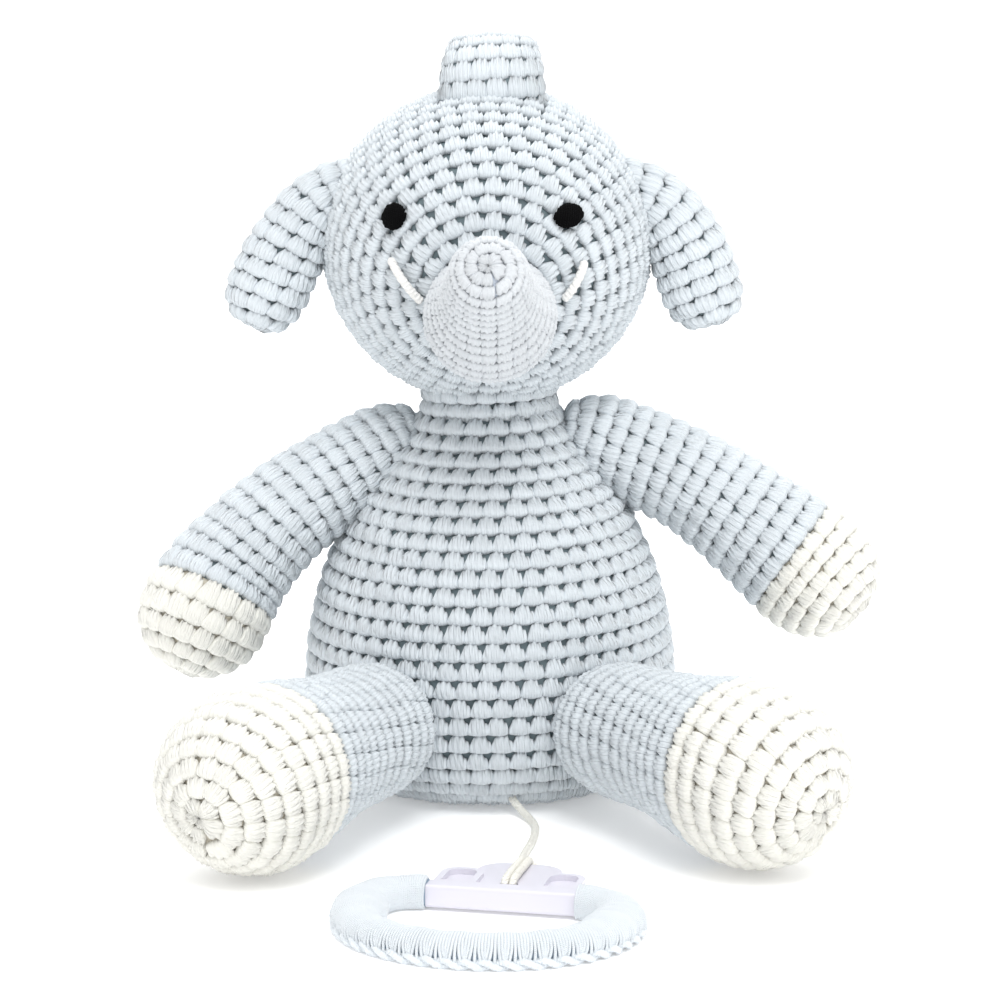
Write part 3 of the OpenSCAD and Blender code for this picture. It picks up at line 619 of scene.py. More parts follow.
class Material:
    """A material being built: its tree, its principled node and the nodes that feed it."""

    def __init__(self, name: str) -> None:
        """Starts an empty principled material of that name."""
        self.made = bpy.data.materials.new(name)
        self.made.use_nodes = True
        self.tree = self.made.node_tree
        self.shader = next(n for n in self.tree.nodes if n.type == "BSDF_PRINCIPLED")

    def node(self, kind: str, out: object = 0, settings: Optional[dict] = None, **inputs: object) -> Expr:
        """Any other node.

        Args:
            kind: The node's type name.
            out: The output wanted, by name or number.
            settings: Attributes of the node.
            inputs: Values for its inputs, spaces in their names as underscores.

        Returns:
            The wanted output.
        """
        made = self.tree.nodes.new(kind)
        for key, value in (settings or {}).items():
            setattr(made, key, value)
        for key, value in inputs.items():
            Expr.plug(self.tree, value, made.inputs[key.replace("_", " ")])
        return Expr(self.tree, made.outputs[out])

    def set(self, **inputs: object) -> "Material":
        """Feeds values into the principled node's inputs, spaces in their names as underscores."""
        for key, value in inputs.items():
            Expr.plug(self.tree, value, self.shader.inputs[key.replace("_", " ")])
        return self

    def noise(self, scale: float, detail: float = 2.0, vector: Optional[Expr] = None) -> Expr:
        """Noise over the object's own coordinates."""
        where = vector or self.node("ShaderNodeTexCoord", "Object")
        return self.node("ShaderNodeTexNoise", 0, Vector=where, Scale=scale, Detail=detail)

    def mix(self, factor: object, a: Sequence[float], b: Sequence[float]) -> Expr:
        """A colour between two."""
        made = self.tree.nodes.new("ShaderNodeMix")
        made.data_type = "RGBA"
        for target, value in ((made.inputs[0], factor), (made.inputs[6], a), (made.inputs[7], b)):
            Expr.plug(self.tree, value, target)
        return Expr(self.tree, made.outputs[2])

    def bump(self, height: Expr, distance: float, strength: float = 1.0) -> Expr:
        """A normal from a height."""
        return self.node("ShaderNodeBump", 0, Height=height, Distance=distance, Strength=strength)


def shade(rgb: Sequence[float], by: float = 1.0) -> tuple[float, float, float, float]:
    """A display colour from 0 to 255 as linear light, times a factor."""
    c = np.asarray(rgb, float) / 255
    linear = np.where(c <= 0.04045, c / 12.92, ((c + 0.055) / 1.055) ** 2.4) * by
    return (*linear.tolist(), 1.0)


@dataclass(frozen=True)
class Yarn:
    """Matt spun yarn: a colour that differs a little from stitch to stitch, painted shade where the stitches
    lie deep in their creases, and fine fibres along its plies.
    """

    name: str
    rgb: tuple[int, int, int]
    spread: float = 0.05
    roughness: float = 0.88
    fibre: float = 0.10 * MM
    # the colour of the painted crease shade, as a factor of the yarn's colour
    shadow: float = 0.62
    sheen: float = 0.25
    ply: float = 2.2

    def make(self) -> "bpy.types.Material":
        """The yarn's material."""
        m = Material(self.name)
        tint = m.node("ShaderNodeAttribute", "Fac", {"attribute_name": "tint"})
        patchy = m.noise(220.0, 3.0)
        where = m.node("ShaderNodeUVMap", 0, {"uv_map": "yarn"})
        parts = m.tree.nodes.new("ShaderNodeSeparateXYZ")
        Expr.plug(m.tree, where, parts.inputs[0])
        u, v = Expr(m.tree, parts.outputs[0]), Expr(m.tree, parts.outputs[1])
        strands = (u * 19.0 + v * 5.0 + m.noise(900.0, 1.0) * 5.0).wave()
        plies = (u * 6.3 + v * 3.6 + m.noise(300.0, 1.0) * 1.5).wave()
        fuzz = m.noise(2600.0, 3.0)
        dark, light = shade(self.rgb, 1 - self.spread), shade(self.rgb, 1 + self.spread)
        crease = m.node("ShaderNodeAttribute", "Fac", {"attribute_name": "crease"})
        face = m.mix(tint * 0.5 + patchy * 0.5, dark, light)
        # Painted shade: the colour darkens towards the shadow colour where a point lies deep in the stitch's
        # creases.
        m.set(Base_Color=m.mix(crease * crease * 0.75, face, shade(self.rgb, self.shadow)))
        m.set(Roughness=self.roughness)
        m.set(Normal=m.bump(plies * self.ply + strands * 0.7 + fuzz * 0.7, self.fibre, 1.0))
        m.set(Sheen_Weight=self.sheen, Sheen_Roughness=0.6, Specular_IOR_Level=self.sheen)
        return m.made


@dataclass(frozen=True)
class Plain:
    """An even finish: a colour, a roughness, and a fine unevenness."""

    name: str
    rgb: tuple[int, int, int]
    roughness: float = 0.5
    metallic: float = 0.0
    coat: float = 0.0
    grain: float = 0.02 * MM
    scale: float = 400.0
    spread: float = 0.03
    mottle: float = 0.12

    def make(self) -> "bpy.types.Material":
        """The finish's material."""
        m = Material(self.name)
        mottle = m.noise(self.scale, 3.0)
        m.set(Base_Color=m.mix(mottle, shade(self.rgb, 1 - self.spread), shade(self.rgb, 1 + self.spread)))
        m.set(Roughness=m.noise(self.scale * 0.5, 2.0) * self.mottle + (self.roughness - 0.5 * self.mottle))
        m.set(Normal=m.bump(mottle, self.grain, 0.5), Metallic=self.metallic, Coat_Weight=self.coat)
        return m.made


BLUE = Yarn("blue_yarn", (214, 221, 226))
WHITE = Yarn("white_yarn", (235, 234, 227), shadow=0.85, ply=1.5, fibre=0.08 * MM)
TRUNK = Yarn("trunk_yarn", (207, 211, 215), spread=0.03, shadow=0.75, fibre=0.06 * MM, ply=1.6)
BLACK = Yarn("black_thread", (8, 8, 9), spread=0.3, roughness=0.7, fibre=0.05 * MM, sheen=0.02)
STITCH = Yarn("white_thread", (247, 246, 243), roughness=0.7)
CORD = Yarn("cord", (249, 247, 238), roughness=0.7, shadow=0.9)
FILLING = Plain("stuffing", (240, 240, 238), 0.95, grain=0.5 * MM)
# Painted shade: closed sheets under the stitches, darker than the yarn and the stuffing, that show as the
# shadow in the holes.
HOLE_SHADE_BLUE = Plain("blue_hole_shade", (120, 134, 139), 0.95, spread=0.5, scale=110.0)
HOLE_SHADE_WHITE = Plain("white_hole_shade", (206, 200, 186), 0.95, spread=0.2, scale=110.0)
HOLE_SHADE_TRUNK = Plain("trunk_hole_shade", (190, 198, 210), 0.95)
# Painted shade: the ring's core under its wraps, coloured dark for the shadow in the gaps between them.
GAP_SHADE_RING = Plain("ring_gap_shade", (150, 168, 186), 0.95)
RING_YARN = Yarn("ring_yarn", (227, 233, 238), roughness=0.75, fibre=0.04 * MM)
RING_PLASTIC = Plain(
    "ring_plastic", (219, 217, 227), 0.32, coat=0.2, grain=0.002 * MM, spread=0.004, mottle=0.01
)
CASE = Plain("case_plastic", (228, 228, 228), 0.45)
RUBBER = Plain("rubber", (38, 38, 38), 0.8)
STEEL = Plain("steel", (168, 168, 172), 0.32, metallic=1.0)
CAST = Plain("cast_metal", (128, 128, 130), 0.55, metallic=0.9)
BRASS = Plain("brass", (205, 168, 92), 0.3, metallic=1.0)


class Palette:
    """Makes each finish once and hands it out by name."""

    def __init__(self) -> None:
        """Starts empty."""
        self._made: dict[str, "bpy.types.Material"] = {}

    def __getitem__(self, finish: "Yarn | Plain") -> "bpy.types.Material":
        """The finish's material."""
        if finish.name not in self._made:
            self._made[finish.name] = finish.make()
        return self._made[finish.name]


# ---- Sub-assemblies ----


@dataclass(frozen=True)
class Bend:
    """The base that a sewn-on piece is sewn to, and two points near its sewn end: a start and an end."""

    base: str
    start: tuple[float, float, float]
    end: tuple[float, float, float]

    @staticmethod
    def at_root(base: str, line: Sequence[Sequence[float]]) -> "Bend":
        """A bend at the sewn end of a line, from the middle of its last span into the one before."""
        p = mm(line)
        start, end = 0.5 * (p[-1] + p[-2]), 0.35 * p[-2] + 0.65 * p[-3]
        return Bend(base, tuple(start.tolist()), tuple(end.tolist()))


def finish_piece(
    made: "bpy.types.Object",
    body: str,
    replaces: Sequence[str] = (),
    bend: Optional[Bend] = None,
) -> None:
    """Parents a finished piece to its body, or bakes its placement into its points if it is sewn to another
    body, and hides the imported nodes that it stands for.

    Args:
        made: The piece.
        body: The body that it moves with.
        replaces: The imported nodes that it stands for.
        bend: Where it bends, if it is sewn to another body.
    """
    if bend is None:
        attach(made, body)
    else:
        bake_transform(made)
    if replaces:
        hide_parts(*replaces)
    low = min(v[2] for v in made.bound_box) / MM
    log.info("%s: %d faces on %s, lowest %.2f mm", made.name, len(made.data.polygons), body, low)


@dataclass
class Cover:
    """One crocheted cover: its stitches and, just under them, a closed sheet coloured as painted shade that
    shows in the holes.
    """

    name: str
    body: str
    node: str
    work: Crochet
    yarn: Yarn
    # the sheet's colour: painted shade for the holes
    depth: Plain
    slot: str
    fill: float = 0.8
    under: float = 0.9 * MM
    shade_sheet_stop: Optional[float] = None
    shade_sheet_start: float = 0.0
    filling: Sequence[str] = ()
    bend: Optional[Bend] = None

    def build(self, palette: Palette) -> "bpy.types.Object":
        """Makes both pieces.

        Args:
            palette: The finishes.

        Returns:
            The stitches' object.
        """
        stitches = make_object(self.name, self.work.make(), palette[self.yarn])
        finish_piece(stitches, self.body, [self.node], self.bend)
        # A closed sheet just under the stitches, coloured as painted shade for the holes; it hides the stuffing
        # nodes.
        inner = self.work.form.shell(-self.under, 60, 72, self.shade_sheet_start, self.shade_sheet_stop)
        shade_sheet = make_object(f"{self.name}_inside", inner, palette[self.depth])
        finish_piece(shade_sheet, self.body, self.filling, bend=self.bend)
        return stitches


RELIEF = 1.15 * MM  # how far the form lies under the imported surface, so that the stitches' crowns reach it
TIGHT = Stitch(
    crown=1.14, shoulder=0.92, ridge=0.09, tooth=0.05, puff=0.21, body=0.2, lean=0.18, ridges=3, corner=0.05,
    sag=0.02,
)
SNUG = Stitch(shoulder=0.72, crown_left=-0.32, crown_right=0.16, tooth=0.07, puff=0.26)


@dataclass
class Torso:
    """The pear-shaped body, worked upwards from the middle of the seat, and the ring of rounds at the neck."""

    outline: Sequence[tuple[float, float]] = (
        (0.0, 0.0), (0.0, 14.0), (0.1, 26.0), (1.6, 34.0), (6.0, 40.2), (13.0, 44.4), (24.0, 46.2),
        (34.0, 46.0), (46.0, 44.0), (56.0, 41.0), (64.0, 37.6), (72.0, 33.2), (80.0, 27.6), (87.0, 22.0),
        (94.5, 17.6), (97.0, 16.8),
    )
    neck: Sequence[tuple[float, float]] = ((-6.0, 12.0), (-4.0, 16.6), (0.0, 17.0), (4.0, 16.8), (6.5, 12.0))

    def build(self, palette: Palette) -> None:
        """Makes the body's and the neck's covers."""
        spine = mm([(0, 0, 0), (0, 0, 50), (0, 0, 99)])
        form = Form(spine, mm(self.outline), inset=RELIEF)
        work = Crochet(form, seed=11, tilt=0.8 * MM, low_stitch=SNUG, low_until=50.0 * MM)
        Cover("body_crochet", "torso", "body_cover", work, BLUE, HOLE_SHADE_BLUE, "blue_yarn").build(palette)
        base = 97.0
        line = mm([(0, 0, base - 8), (0, 0, base), (0, 0, base + 8)])
        rounds = Form(line, mm([(8 + z, r) for z, r in self.neck]), inset=RELIEF)
        ring = Crochet(rounds, seed=12, start=10.5 * MM, stop=rounds.length - 10.5 * MM)
        Cover("neck_crochet", "neck", "neck_seam", ring, BLUE, HOLE_SHADE_BLUE, "blue_yarn").build(palette)


@dataclass
class Squashed(Form):
    """A form whose upright measure is reduced about a height."""

    middle: float = 0.0
    upright: float = 1.0

    def point(self, far: Array, turn: Array) -> Array:
        """Places on the surface, brought towards the middle height."""
        p = super().point(far, turn)
        p[..., 2] = self.middle + (p[..., 2] - self.middle) * self.upright
        return p


@dataclass
class Head:
    """The round head, worked backwards in rings from behind the trunk, with its eyes and cheek stitches."""

    centre: tuple[float, float, float] = (-0.6, 0.0, 135.0)
    radius: float = 40.7
    upright: float = 0.965
    dip: float = 17.0
    trunk_gap: float = 9.5

    def form(self, inset: float = RELIEF) -> Form:
        """The head's surface, its first pole at the face."""
        c = np.array(self.centre)
        tip = np.array([0, -math.cos(math.radians(self.dip)), -math.sin(math.radians(self.dip))])
        spine = np.stack([c + tip * self.radius, c, c - tip * self.radius]) * MM
        a = np.linspace(0, math.pi, 25)
        outline = np.stack([self.radius * (1 - np.cos(a)), self.radius * np.sin(a)], axis=1) * MM
        return Squashed(spine, outline, inset=inset, middle=self.centre[2] * MM, upright=self.upright)

    def on_face(self, x: Array, z: Array, out: Array) -> Array:
        """Points on the front of the head.

        The depth follows from the head's round shape. The height above it is laid off along the outward
        direction: the point's place from the centre, its upright part divided twice by the squash.

        Args:
            x: Places across, millimetres.
            z: Heights, millimetres.
            out: Heights above the head, millimetres.

        Returns:
            The points in metres.
        """
        x, z, out = np.broadcast_arrays(x, z, out)
        a, b = x - self.centre[0], (z - self.centre[2]) / self.upright
        y = -np.sqrt(np.clip(self.radius**2 - a**2 - b**2, 1, None))
        away = unit(np.stack([a, y, b / self.upright], axis=-1))
        return (np.stack([x, y + self.centre[1], z], axis=-1) + out[..., None] * away) * MM

    def eye(
        self, side: Side, middle: tuple[float, float], half: tuple[float, float], palette: Palette
    ) -> None:
        """One eye of satin stitches: upright threads side by side, ending on an oval, their middles raised.

        Args:
            side: Which eye.
            middle: Its place across and up, millimetres.
            half: Half its width and height, millimetres.
            palette: The finishes.
        """
        rng = np.random.default_rng(70 + side.value)
        made: Optional[Patch] = None
        for k in np.linspace(-1, 1, 13):
            tall = half[1] * (math.sqrt(max(1 - (0.97 * k) ** 2, 0)) * 0.94 + 0.06) * (1 + rng.normal(0, 0.03))
            t = np.linspace(-1, 1, 15)
            x = middle[0] + half[0] * k * (1 - 0.05 * t**2) + 0.25 * t
            z = middle[1] + tall * t
            lift = 0.5 + 1.0 * np.sqrt(np.clip(1 - t**2, 0, 1)) * math.sqrt(max(1 - 0.8 * k * k, 0))
            one = tube(resample(self.on_face(x, z, lift), 22), 0.42 * MM, 8, 2, 3.0, 0.10)
            made = one if made is None else made + one
        name = f"eye_{side.word}"
        finish_piece(make_object(f"{name}_thread", made, palette[BLACK]), "head", [name])

    def cheek(
        self, side: Side, low: tuple[float, float], high: tuple[float, float], palette: Palette
    ) -> None:
        """One straight stitch of thick white thread, its middle raised and its ends drawn into the cover."""
        t = np.linspace(0, 1, 25)
        x, z = low[0] + (high[0] - low[0]) * t, low[1] + (high[1] - low[1]) * t
        path = resample(self.on_face(x, z, 0.2 + 1.5 * np.sin(math.pi * t) ** 0.6), 40)
        name = f"cheek_stitch_{side.word}"
        made = make_object(f"{name}_thread", tube(path, 0.95 * MM, 14, 3, 2.6, 0.14), palette[STITCH])
        finish_piece(made, "head", [name])

    def loop(self, palette: Palette) -> None:
        """The hanging loop: a crocheted strap in an arch over the top of the head, narrower at its top."""
        a = np.radians(np.linspace(-24, 204, 25))
        reach = 11.3
        spine = np.stack([0.6 + 0 * a, -reach * np.cos(a), 172.8 + reach * np.sin(a)], axis=1)
        wide = ((0.0, 11.0), (2.0, 13.2), (10.0, 12.6), (22.0, 10.6), (35.0, 12.6), (43.0, 13.2), (45.0, 11.0))
        form = Form(spine * MM, mm(wide), facing=np.array([1.0, 0.0, 0.0]), flat=0.2, inset=0.9 * MM)
        work = Crochet(form, SNUG, seed=25, width=3.4 * MM, height=4.4 * MM, start=0.5 * MM, vary=0.08)
        Cover(
            "hanging_loop_crochet", "head", "hanging_loop", work, BLUE, HOLE_SHADE_BLUE, "blue_yarn", under=0.5 * MM
        ).build(palette)

    def build(self, palette: Palette) -> None:
        """Makes the head's cover, the loop on it and the face's stitches."""
        work = Crochet(self.form(), seed=21, start=self.trunk_gap * MM)
        Cover("head_crochet", "head", "head_cover", work, BLUE, HOLE_SHADE_BLUE, "blue_yarn").build(palette)
        self.eye(Side.RIGHT, (-22.1, 143.9), (2.5, 3.1), palette)
        self.eye(Side.LEFT, (18.3, 144.2), (3.1, 2.8), palette)
        self.cheek(Side.RIGHT, (-15.8, 124.3), (-23.1, 134.2), palette)
        self.cheek(Side.LEFT, (17.4, 124.7), (22.2, 133.5), palette)
        self.loop(palette)


@dataclass
class Trunk:
    """The short upturned trunk, worked tightly from its tip and widening to where it is sewn on."""

    line: Sequence[tuple[float, float, float]] = (
        (-0.2, -74.2, 136.0), (-0.1, -66.0, 132.6), (0.0, -56.0, 128.0), (0.2, -46.0, 123.2),
        (0.2, -32.0, 118.5),
    )
    outline: Sequence[tuple[float, float]] = (
        (0.0, 0.0), (0.3, 3.4), (2.2, 6.9), (6.0, 8.9), (11.0, 9.8), (18.0, 10.8), (26.0, 12.6), (32.0, 14.6),
        (36.5, 15.8), (40.0, 15.4), (44.0, 12.0),
    )

    def build(self, palette: Palette) -> None:
        """Makes the trunk's cover."""
        form = Form(smooth_path(mm(self.line)), mm(self.outline), inset=0.7 * MM)
        work = Crochet(form, TIGHT, width=3.7 * MM, height=3.1 * MM, seed=31, drift=0.0, vary=0.04)
        Cover(
            "trunk_crochet", "trunk", "trunk_cover", work, TRUNK, HOLE_SHADE_TRUNK, "trunk_yarn", under=0.5 * MM,
            filling=["trunk_stuffing"], bend=Bend.at_root("head", self.line),
        ).build(palette)


@dataclass
class Ear:
    """One paddle-shaped ear, worked from its rounded end up to where it is sewn to the head."""

    side: Side
    line: Sequence[tuple[float, float, float]]
    outline: Sequence[tuple[float, float]] = (
        (0.0, 0.0), (0.4, 4.5), (2.6, 7.6), (6.5, 9.5), (12.0, 10.2), (20.0, 10.0), (28.0, 9.4), (36.0, 8.8),
        (44.0, 8.4), (50.0, 7.0), (53.0, 4.0),
    )

    def build(self, palette: Palette) -> None:
        """Makes the ear's cover."""
        line, facing = smooth_path(mm(self.line)), np.array([1.0, 0.0, 0.4])
        form = Form(line, mm(self.outline), facing=facing, flat=0.62, inset=RELIEF)
        work = Crochet(form, SNUG, seed=40 + self.side.value, width=4.9 * MM, height=4.4 * MM)
        node = f"ear_{self.side.word}"
        Cover(
            f"{node}_crochet", node, node, work, BLUE, HOLE_SHADE_BLUE, "blue_yarn",
            filling=[f"ear_stuffing_{self.side.word}"], bend=Bend.at_root("head", self.line),
        ).build(palette)


@dataclass
class Limb:
    """An arm or a leg: a white end worked from its pole, then a blue sleeve up to where it is sewn on."""

    side: Side
    kind: str
    end: str
    line: Sequence[tuple[float, float, float]]
    outline: Sequence[tuple[float, float]]
    change: float
    seed: int
    stitch: Stitch = SNUG
    width: float = 4.9
    height: float = 4.5

    def build(self, palette: Palette) -> None:
        """Makes the white end and the sleeve on one form."""
        form = Form(smooth_path(mm(self.line)), mm(self.outline), inset=RELIEF)
        change = self.change * MM
        body = f"{self.kind}_{self.side.word}"
        common = dict(stitch=self.stitch, width=self.width * MM, height=self.height * MM)
        tip = Crochet(form, seed=self.seed, stop=change, **common)
        end = f"{self.end}_{self.side.word}"
        Cover(
            f"{end}_crochet", body, end, tip, WHITE, HOLE_SHADE_WHITE, "white_yarn", shade_sheet_stop=change
        ).build(palette)
        sleeve = Crochet(form, seed=self.seed + 1, start=change, **common)
        Cover(
            f"{body}_crochet", body, body, sleeve, BLUE, HOLE_SHADE_BLUE, "blue_yarn", shade_sheet_start=change,
            filling=[f"{self.kind}_stuffing_{self.side.word}"], bend=Bend.at_root("torso", self.line),
        ).build(palette)


@dataclass
class PullRing:
    """The ring on the end of the cord: its yarn cover, the cord, its knot and the loop through the plate."""

    place: tuple[float, float, float] = (3.0, -121.3, 3.3)
    turn: float = -13.0
    half: float = 30.0
    corner: float = 13.0
    deep: float = 26.5
    bar: float = 33.0
    thick: float = 3.35
    wrap: float = 0.62
    loop_far: float = 24.3
    hole: float = 6.0
    over: float = 2.3

    def put(self, points: Array) -> Array:
        """Points of the ring's own frame, millimetres, as points of the shared frame, metres."""
        a = math.radians(self.turn)
        p = np.asarray(points, dtype=float)
        x = self.place[0] + p[..., 0] * math.cos(a) - p[..., 1] * math.sin(a)
        y = self.place[1] + p[..., 0] * math.sin(a) + p[..., 1] * math.cos(a)
        return np.stack([x, y, self.place[2] + p[..., 2]], axis=-1) * MM

    def middle_line(self, count: int) -> tuple[Array, Array]:
        """The line along the tube's middle and its outward directions, from one end of the bar to the other."""
        inner = self.half - self.corner
        q = np.linspace(0, math.pi / 2, 40)
        first = np.stack([-inner - self.corner * np.sin(q), -self.corner + self.corner * np.cos(q)], axis=1)
        h = np.linspace(0, math.pi, 160)[1:-1]
        front = np.stack([-self.half * np.cos(h), -self.corner - self.deep * np.sin(h)], axis=1)
        last = first[::-1] * [-1, 1]
        flat = np.vstack([[[-self.bar / 2 - 0.1, 0]], first, front, last, [[self.bar / 2 + 0.1, 0]]])
        line = resample(flat, count)
        along = unit(np.gradient(line, axis=0))
        return line, np.stack([along[:, 1], -along[:, 0]], axis=1)

    def skin(self, s: Array, angle: Array, out: Array) -> Array:
        """Points on the cover.

        The section is an oval: its half height is even, and its half width grows towards the two sides of the
        ring, inwards only, as a bell curve of the place along the line.

        Args:
            s: Places along the line, from 0 to 1.
            angle: Angles round the section, 0 outwards and a quarter turn upwards.
            out: Heights above the section, millimetres.

        Returns:
            The points in metres.
        """
        line, side = self.middle_line(600)
        at = np.linspace(0, 1, 600)
        s, angle, out = np.broadcast_arrays(s, angle, out)
        x, y, nx, ny = (np.interp(s, at, v) for v in (line[:, 0], line[:, 1], side[:, 0], side[:, 1]))
        sign = np.sign(self.outward)
        off = np.minimum(s, 1 - s)
        wide = self.thick + 2.3 * np.exp(-(((off - 0.19) / 0.10) ** 2))
        shift = self.thick - wide
        across = shift + (wide + out) * np.cos(angle)
        up = (self.thick + out) * np.sin(angle)
        flat = np.stack([x + sign * nx * across, y + sign * ny * across, up], axis=-1)
        placed = self.put(flat)
        placed[..., 2] = np.maximum(placed[..., 2], REST + 0.4 * MM)
        return placed

    @property
    def outward(self) -> float:
        """1 or -1, so that the line's sideways direction points out of the ring at its front."""
        line, side = self.middle_line(101)
        return -1.0 if side[50, 1] > 0 else 1.0

    def cover(self, palette: Palette) -> None:
        """Makes the cover: a core coloured as painted shade for the gaps between the wraps, a thread wound
        round it, and a corded edge.

        The thread gathers into bunches at the ring's outer edge, and the corded edge lies below them.
        """
        line, _ = self.middle_line(600)
        length = float(run_lengths(line)[-1])
        turns = round(length / self.wrap)
        t = np.linspace(0.001, 0.999, turns * 22)
        angle = t * turns * TAU
        bunches = round(length / 3.7)
        near = np.exp(-(((np.mod(angle + math.radians(28) + math.pi, TAU) - math.pi) / 0.62) ** 2))
        pull = 0.95 * near * np.sin(t * bunches * TAU) / (bunches * TAU)
        rise = 0.30 - 0.60 * near * (0.5 - 0.5 * np.cos(t * bunches * TAU + math.pi)) + 0.12 * np.sin(t * 91.0)
        s = np.clip(t - pull, 0, 1)
        path = self.skin(s, angle, rise)
        thread = tube(path, 0.36 * MM, 6)
        rows, cols = 200, 24
        u, a = np.meshgrid(np.linspace(0.0, 1.0, rows), np.arange(cols) / cols * TAU, indexing="ij")
        core = self.skin(u, a, np.full(u.shape, -0.25)).reshape(-1, 3)
        ends = core.reshape(rows, cols, 3)[[0, -1]].mean(axis=1)
        core_faces = np.vstack([grid_faces(rows, cols), end_fans(rows, cols)])
        inner = Patch(np.vstack([core, ends]), core_faces, tint=np.zeros(rows * cols + 2))
        # the core is coloured as painted shade that shows in the gaps between the wraps
        finish_piece(make_object("ring_cover_shade_core", inner, palette[GAP_SHADE_RING]), "ring")
        wraps = make_object("ring_cover_wraps", thread, palette[RING_YARN])
        finish_piece(wraps, "ring", ["ring_cover"])
        edge: Optional[Patch] = None
        u = np.linspace(0.03, 0.97, 900)
        for k in (0, 1):
            phase = u * bunches * math.pi + k * math.pi
            strand = self.skin(u, np.radians(-34) + 0.20 * np.cos(phase), 0.15 + 0.50 * np.sin(phase))
            one = tube(strand, 0.78 * MM, 8, 3, 2.4, 0.10)
            edge = one if edge is None else edge + one
        finish_piece(make_object("ring_cover_edge", edge, palette[RING_YARN]), "ring")

    def cord(self, palette: Palette) -> None:
        """Makes the free cord from the body to the knot, the knot, and the loop's two strands."""
        far = self.loop_far + 1.9
        knot = self.put(np.array([0.0, far, -0.9]))
        points = mm([
            (5.2, -35.6, 4.6), (5.8, -37.6, 3.4), (7.6, -41.0, 2.0), (9.6, -46.0, 1.05), (10.8, -53.0, 1.05),
            (10.6, -61.0, 1.05), (9.8, -68.0, 1.05), (8.6, -75.0, 1.05), (7.6, -82.0, 1.05), (7.6, -89.0, 1.3),
        ])
        path = resample(smooth_path(np.vstack([points, knot])), 220)
        free = make_object("pull_cord_free", tube(path, 0.9 * MM, 12, 4, 3.2, 0.10), palette[CORD])
        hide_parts("pull_cord")
        t = np.linspace(0, TAU, 160, endpoint=False)
        across, up = np.sin(t) + 2 * np.sin(2 * t), np.cos(t) - 2 * np.cos(2 * t)
        turn = np.stack([across, -np.sin(3 * t), up], axis=1)
        tied = knot + np.vstack([turn, turn[:1]]) * [0.52 * MM, 0.60 * MM, 0.46 * MM]
        knotted = tube(tied, 0.86 * MM, 10, 4, 3.2, 0.10, taper=False)
        bead = make_object("cord_knot_tied", knotted, palette[CORD])
        finish_piece(bead, "ring", ["cord_knot"])
        loop: Optional[Patch] = None
        for side in (-1, 1):
            off = 0.88 * side
            line = smooth_path([
                (0.3 * side, far - 1.0, -0.6), (0.75 * side, far - 2.6, self.over - 0.3),
                (off, 18.0, self.over), (off, 11.0, self.over), (off, self.hole + 1.2, self.over - 0.25),
                (off, self.hole, self.over - 1.3), (off, self.hole - 0.1, -0.4),
                (off, self.hole + 0.9, -1.75), (off, 12.0, -1.9), (0.8 * side, 19.0, -1.9),
                (0.3 * side, far - 1.6, -1.5),
            ])
            one = tube(resample(self.put(line), 150), 0.84 * MM, 10, 4, 3.2, 0.10)
            loop = one if loop is None else loop + one
        ends = make_object("cord_loop_strands", loop, palette[CORD])
        finish_piece(ends, "ring", ["cord_loop"])
        path[0].tolist()
        float(run_lengths(path)[-1])
        path[4].tolist()
        path[-6].tolist()
        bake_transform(free)

    def build(self, palette: Palette) -> None:
        """Makes the cover and the cord."""
        self.cover(palette)
        self.cord(palette)


# ---- Setting ----


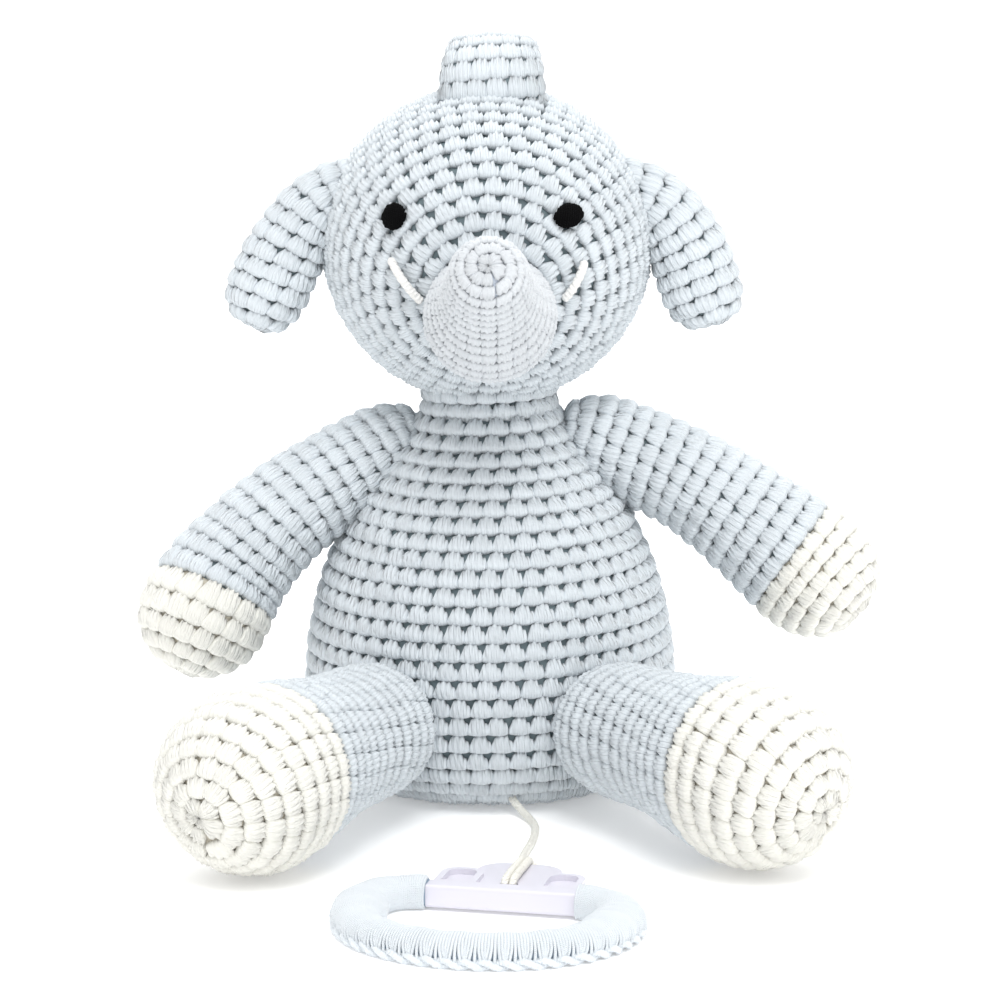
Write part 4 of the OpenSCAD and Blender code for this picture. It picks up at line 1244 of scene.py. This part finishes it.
@dataclass(frozen=True)
class Studio:
    """The camera, the lights and the pale ground."""

    target: tuple[float, float, float] = (0.0025, 0.0, 0.071)
    distance: float = 0.8
    pitch: float = 9.0
    lens: float = 115.2
    daylight: float = 0.79

    def camera(self) -> None:
        """Stands the camera in front, a little above."""
        data = bpy.data.cameras.new("camera")
        data.lens, data.sensor_width = self.lens, 36.0
        data.clip_start, data.clip_end = 0.01, 20.0
        made = bpy.data.objects.new("camera", data)
        tilt = math.radians(self.pitch)
        back = Vector((0, -math.cos(tilt), math.sin(tilt)))
        made.location = Vector(self.target) + self.distance * back
        made.rotation_euler = back.to_track_quat("Z", "Y").to_euler()
        bpy.context.scene.collection.objects.link(made)
        bpy.context.scene.camera = made

    def light(self, name: str, at: Sequence[float], size: float, power: float) -> None:
        """A square soft light that faces the toy.

        Args:
            name: The light's name.
            at: Where it stands, metres.
            size: Its side, metres.
            power: Its power, watts.
        """
        data = bpy.data.lights.new(name, "AREA")
        data.shape, data.size, data.energy = "SQUARE", size, power
        made = bpy.data.objects.new(name, data)
        made.location = Vector(at)
        made.rotation_euler = (Vector(at) - Vector(self.target)).to_track_quat("Z", "Y").to_euler()
        bpy.context.scene.collection.objects.link(made)

    def ground(self) -> Patch:
        """A sheet of paper that lies flat under the toy and rises in a curve behind it."""
        half, front, back, radius, top = 3.0, -2.0, 1.2, 0.6, 2.6
        a = np.linspace(0, math.pi / 2, 12)
        y = np.concatenate([[front], back + radius * np.sin(a), [back + radius]])
        z = np.concatenate([[0.0], radius - radius * np.cos(a), [top]])
        side = np.tile([-half, half], len(y))
        pts = np.stack([side, np.repeat(y, 2), np.repeat(z, 2)], axis=1)
        k = 2 * np.arange(len(y) - 1)
        return Patch(pts, np.stack([k, k + 1, k + 3, k + 2], axis=1))

    def build(self) -> None:
        """Adds the lights, the world and the ground."""
        world = bpy.data.worlds.new("world")
        world.use_nodes = True
        background = world.node_tree.nodes["Background"]
        background.inputs["Color"].default_value = (1.0, 1.0, 1.0, 1.0)
        background.inputs["Strength"].default_value = self.daylight
        bpy.context.scene.world = world
        bpy.context.scene.view_settings.view_transform = "Standard"
        self.light("key", (0.12, -0.75, 1.15), 0.6, 8.0)
        self.light("fill", (0.7, -0.9, 0.3), 0.9, 1.2)
        self.light("top", (0.0, 0.3, 1.1), 0.8, 4.5)
        self.light("back", (0.0, 1.0, 0.9), 0.8, 5.0)
        paper = Material("paper").set(Base_Color=shade((250, 250, 250)), Roughness=0.9)
        paper.set(Emission_Color=(1.0, 1.0, 1.0, 1.0), Emission_Strength=0.22)
        make_object("ground", self.ground(), paper.made)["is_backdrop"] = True


# ---- The whole toy ----

LEG = (
    (0.0, 0.0), (0.5, 5.5), (3.2, 11.8), (8.5, 17.2), (15.0, 20.2), (22.0, 21.0), (30.0, 20.6), (38.0, 19.4),
    (46.0, 18.0), (56.0, 16.8), (68.0, 16.4), (80.0, 15.4), (88.0, 11.0),
)
ARM = (
    (0.0, 0.0), (0.4, 4.4), (2.6, 9.4), (7.0, 13.6), (12.5, 15.7), (18.0, 16.1), (26.0, 15.4), (36.0, 14.2),
    (48.0, 13.2), (60.0, 12.6), (72.0, 12.2), (80.0, 11.2), (86.0, 8.6), (89.0, 5.0),
)
LINES = {
    "ear_right": (
        (-59.0, -5.0, 114.8), (-54.5, -4.6, 124.5), (-48.6, -4.2, 136.0), (-40.5, -3.6, 145.5),
        (-27.0, -3.0, 150.5),
    ),
    "ear_left": (
        (55.0, -5.0, 115.0), (52.0, -4.6, 124.5), (47.0, -4.2, 136.5), (39.5, -3.6, 145.5), (26.0, -3.0, 150.5),
    ),
    "arm_right": (
        (-77.0, -22.0, 32.0), (-70.0, -18.0, 46.0), (-62.5, -13.0, 57.5), (-48.2, -8.0, 71.0),
        (-25.7, 0.0, 83.8), (-15.0, 2.0, 88.0),
    ),
    "arm_left": (
        (91.0, -17.0, 45.0), (79.6, -12.0, 54.9), (66.0, -8.5, 65.5), (48.5, -4.0, 77.2), (26.9, 0.0, 86.3),
        (15.0, 1.0, 89.5),
    ),
    "leg_right": (
        (-63.6, -112.4, 18.2), (-53.2, -94.0, 22.2), (-38.5, -66.0, 23.0), (-27.0, -42.0, 22.5),
        (-20.0, -27.0, 22.5),
    ),
    "leg_left": (
        (74.6, -105.0, 17.6), (61.0, -89.8, 22.2), (44.0, -64.0, 23.0), (30.0, -42.0, 22.5),
        (20.0, -27.0, 22.5),
    ),
}  # middle lines from the free end to the sewn end, millimetres


def toy() -> list[object]:
    """The toy's sub-assemblies in building order."""
    right, left = Side.RIGHT, Side.LEFT
    return [
        Torso(),
        Head(),
        Trunk(),
        PullRing(),
        Ear(right, LINES["ear_right"]),
        Ear(left, LINES["ear_left"]),
        Limb(right, "arm", "hand", LINES["arm_right"], ARM, change=29.0, seed=51),
        Limb(left, "arm", "hand", LINES["arm_left"], ARM, change=30.0, seed=53),
        Limb(right, "leg", "foot", LINES["leg_right"], LEG, change=42.0, seed=55),
        Limb(left, "leg", "foot", LINES["leg_left"], LEG, change=42.0, seed=57),
    ]


def save_sizes(when: str, found: dict) -> dict:
    """Puts the box of what is in the scene into the dictionary beside the others.

    Args:
        when: The name for it.
        found: What was put there before.

    Returns:
        Both together.
    """
    low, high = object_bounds()
    found[when] = {"low": [float(v) for v in low], "high": [float(v) for v in high]}
    return found


def main() -> None:
    """Builds the whole picture in order."""
    logging.basicConfig(level=logging.INFO, format="%(name)s %(message)s")
    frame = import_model()
    sizes = save_sizes("cad", {})
    palette = Palette()
    studio = Studio()
    studio.camera()
    yarns = (BLUE, WHITE, TRUNK, BLACK, STITCH, CORD)
    slots = {f.name: f for f in (*yarns, FILLING, RING_PLASTIC, CASE, RUBBER, STEEL, CAST, BRASS)}
    for part in frame["record"]["subparts"]:
        node = frame["nodes"][part["node"]]
        node.data.materials.clear()
        node.data.materials.append(palette[slots[part["material_slot"]]])
    for piece in toy():
        piece.build(palette)
    studio.build()
    save_sizes("visual", sizes)


if __name__ == "__main__":
    main()
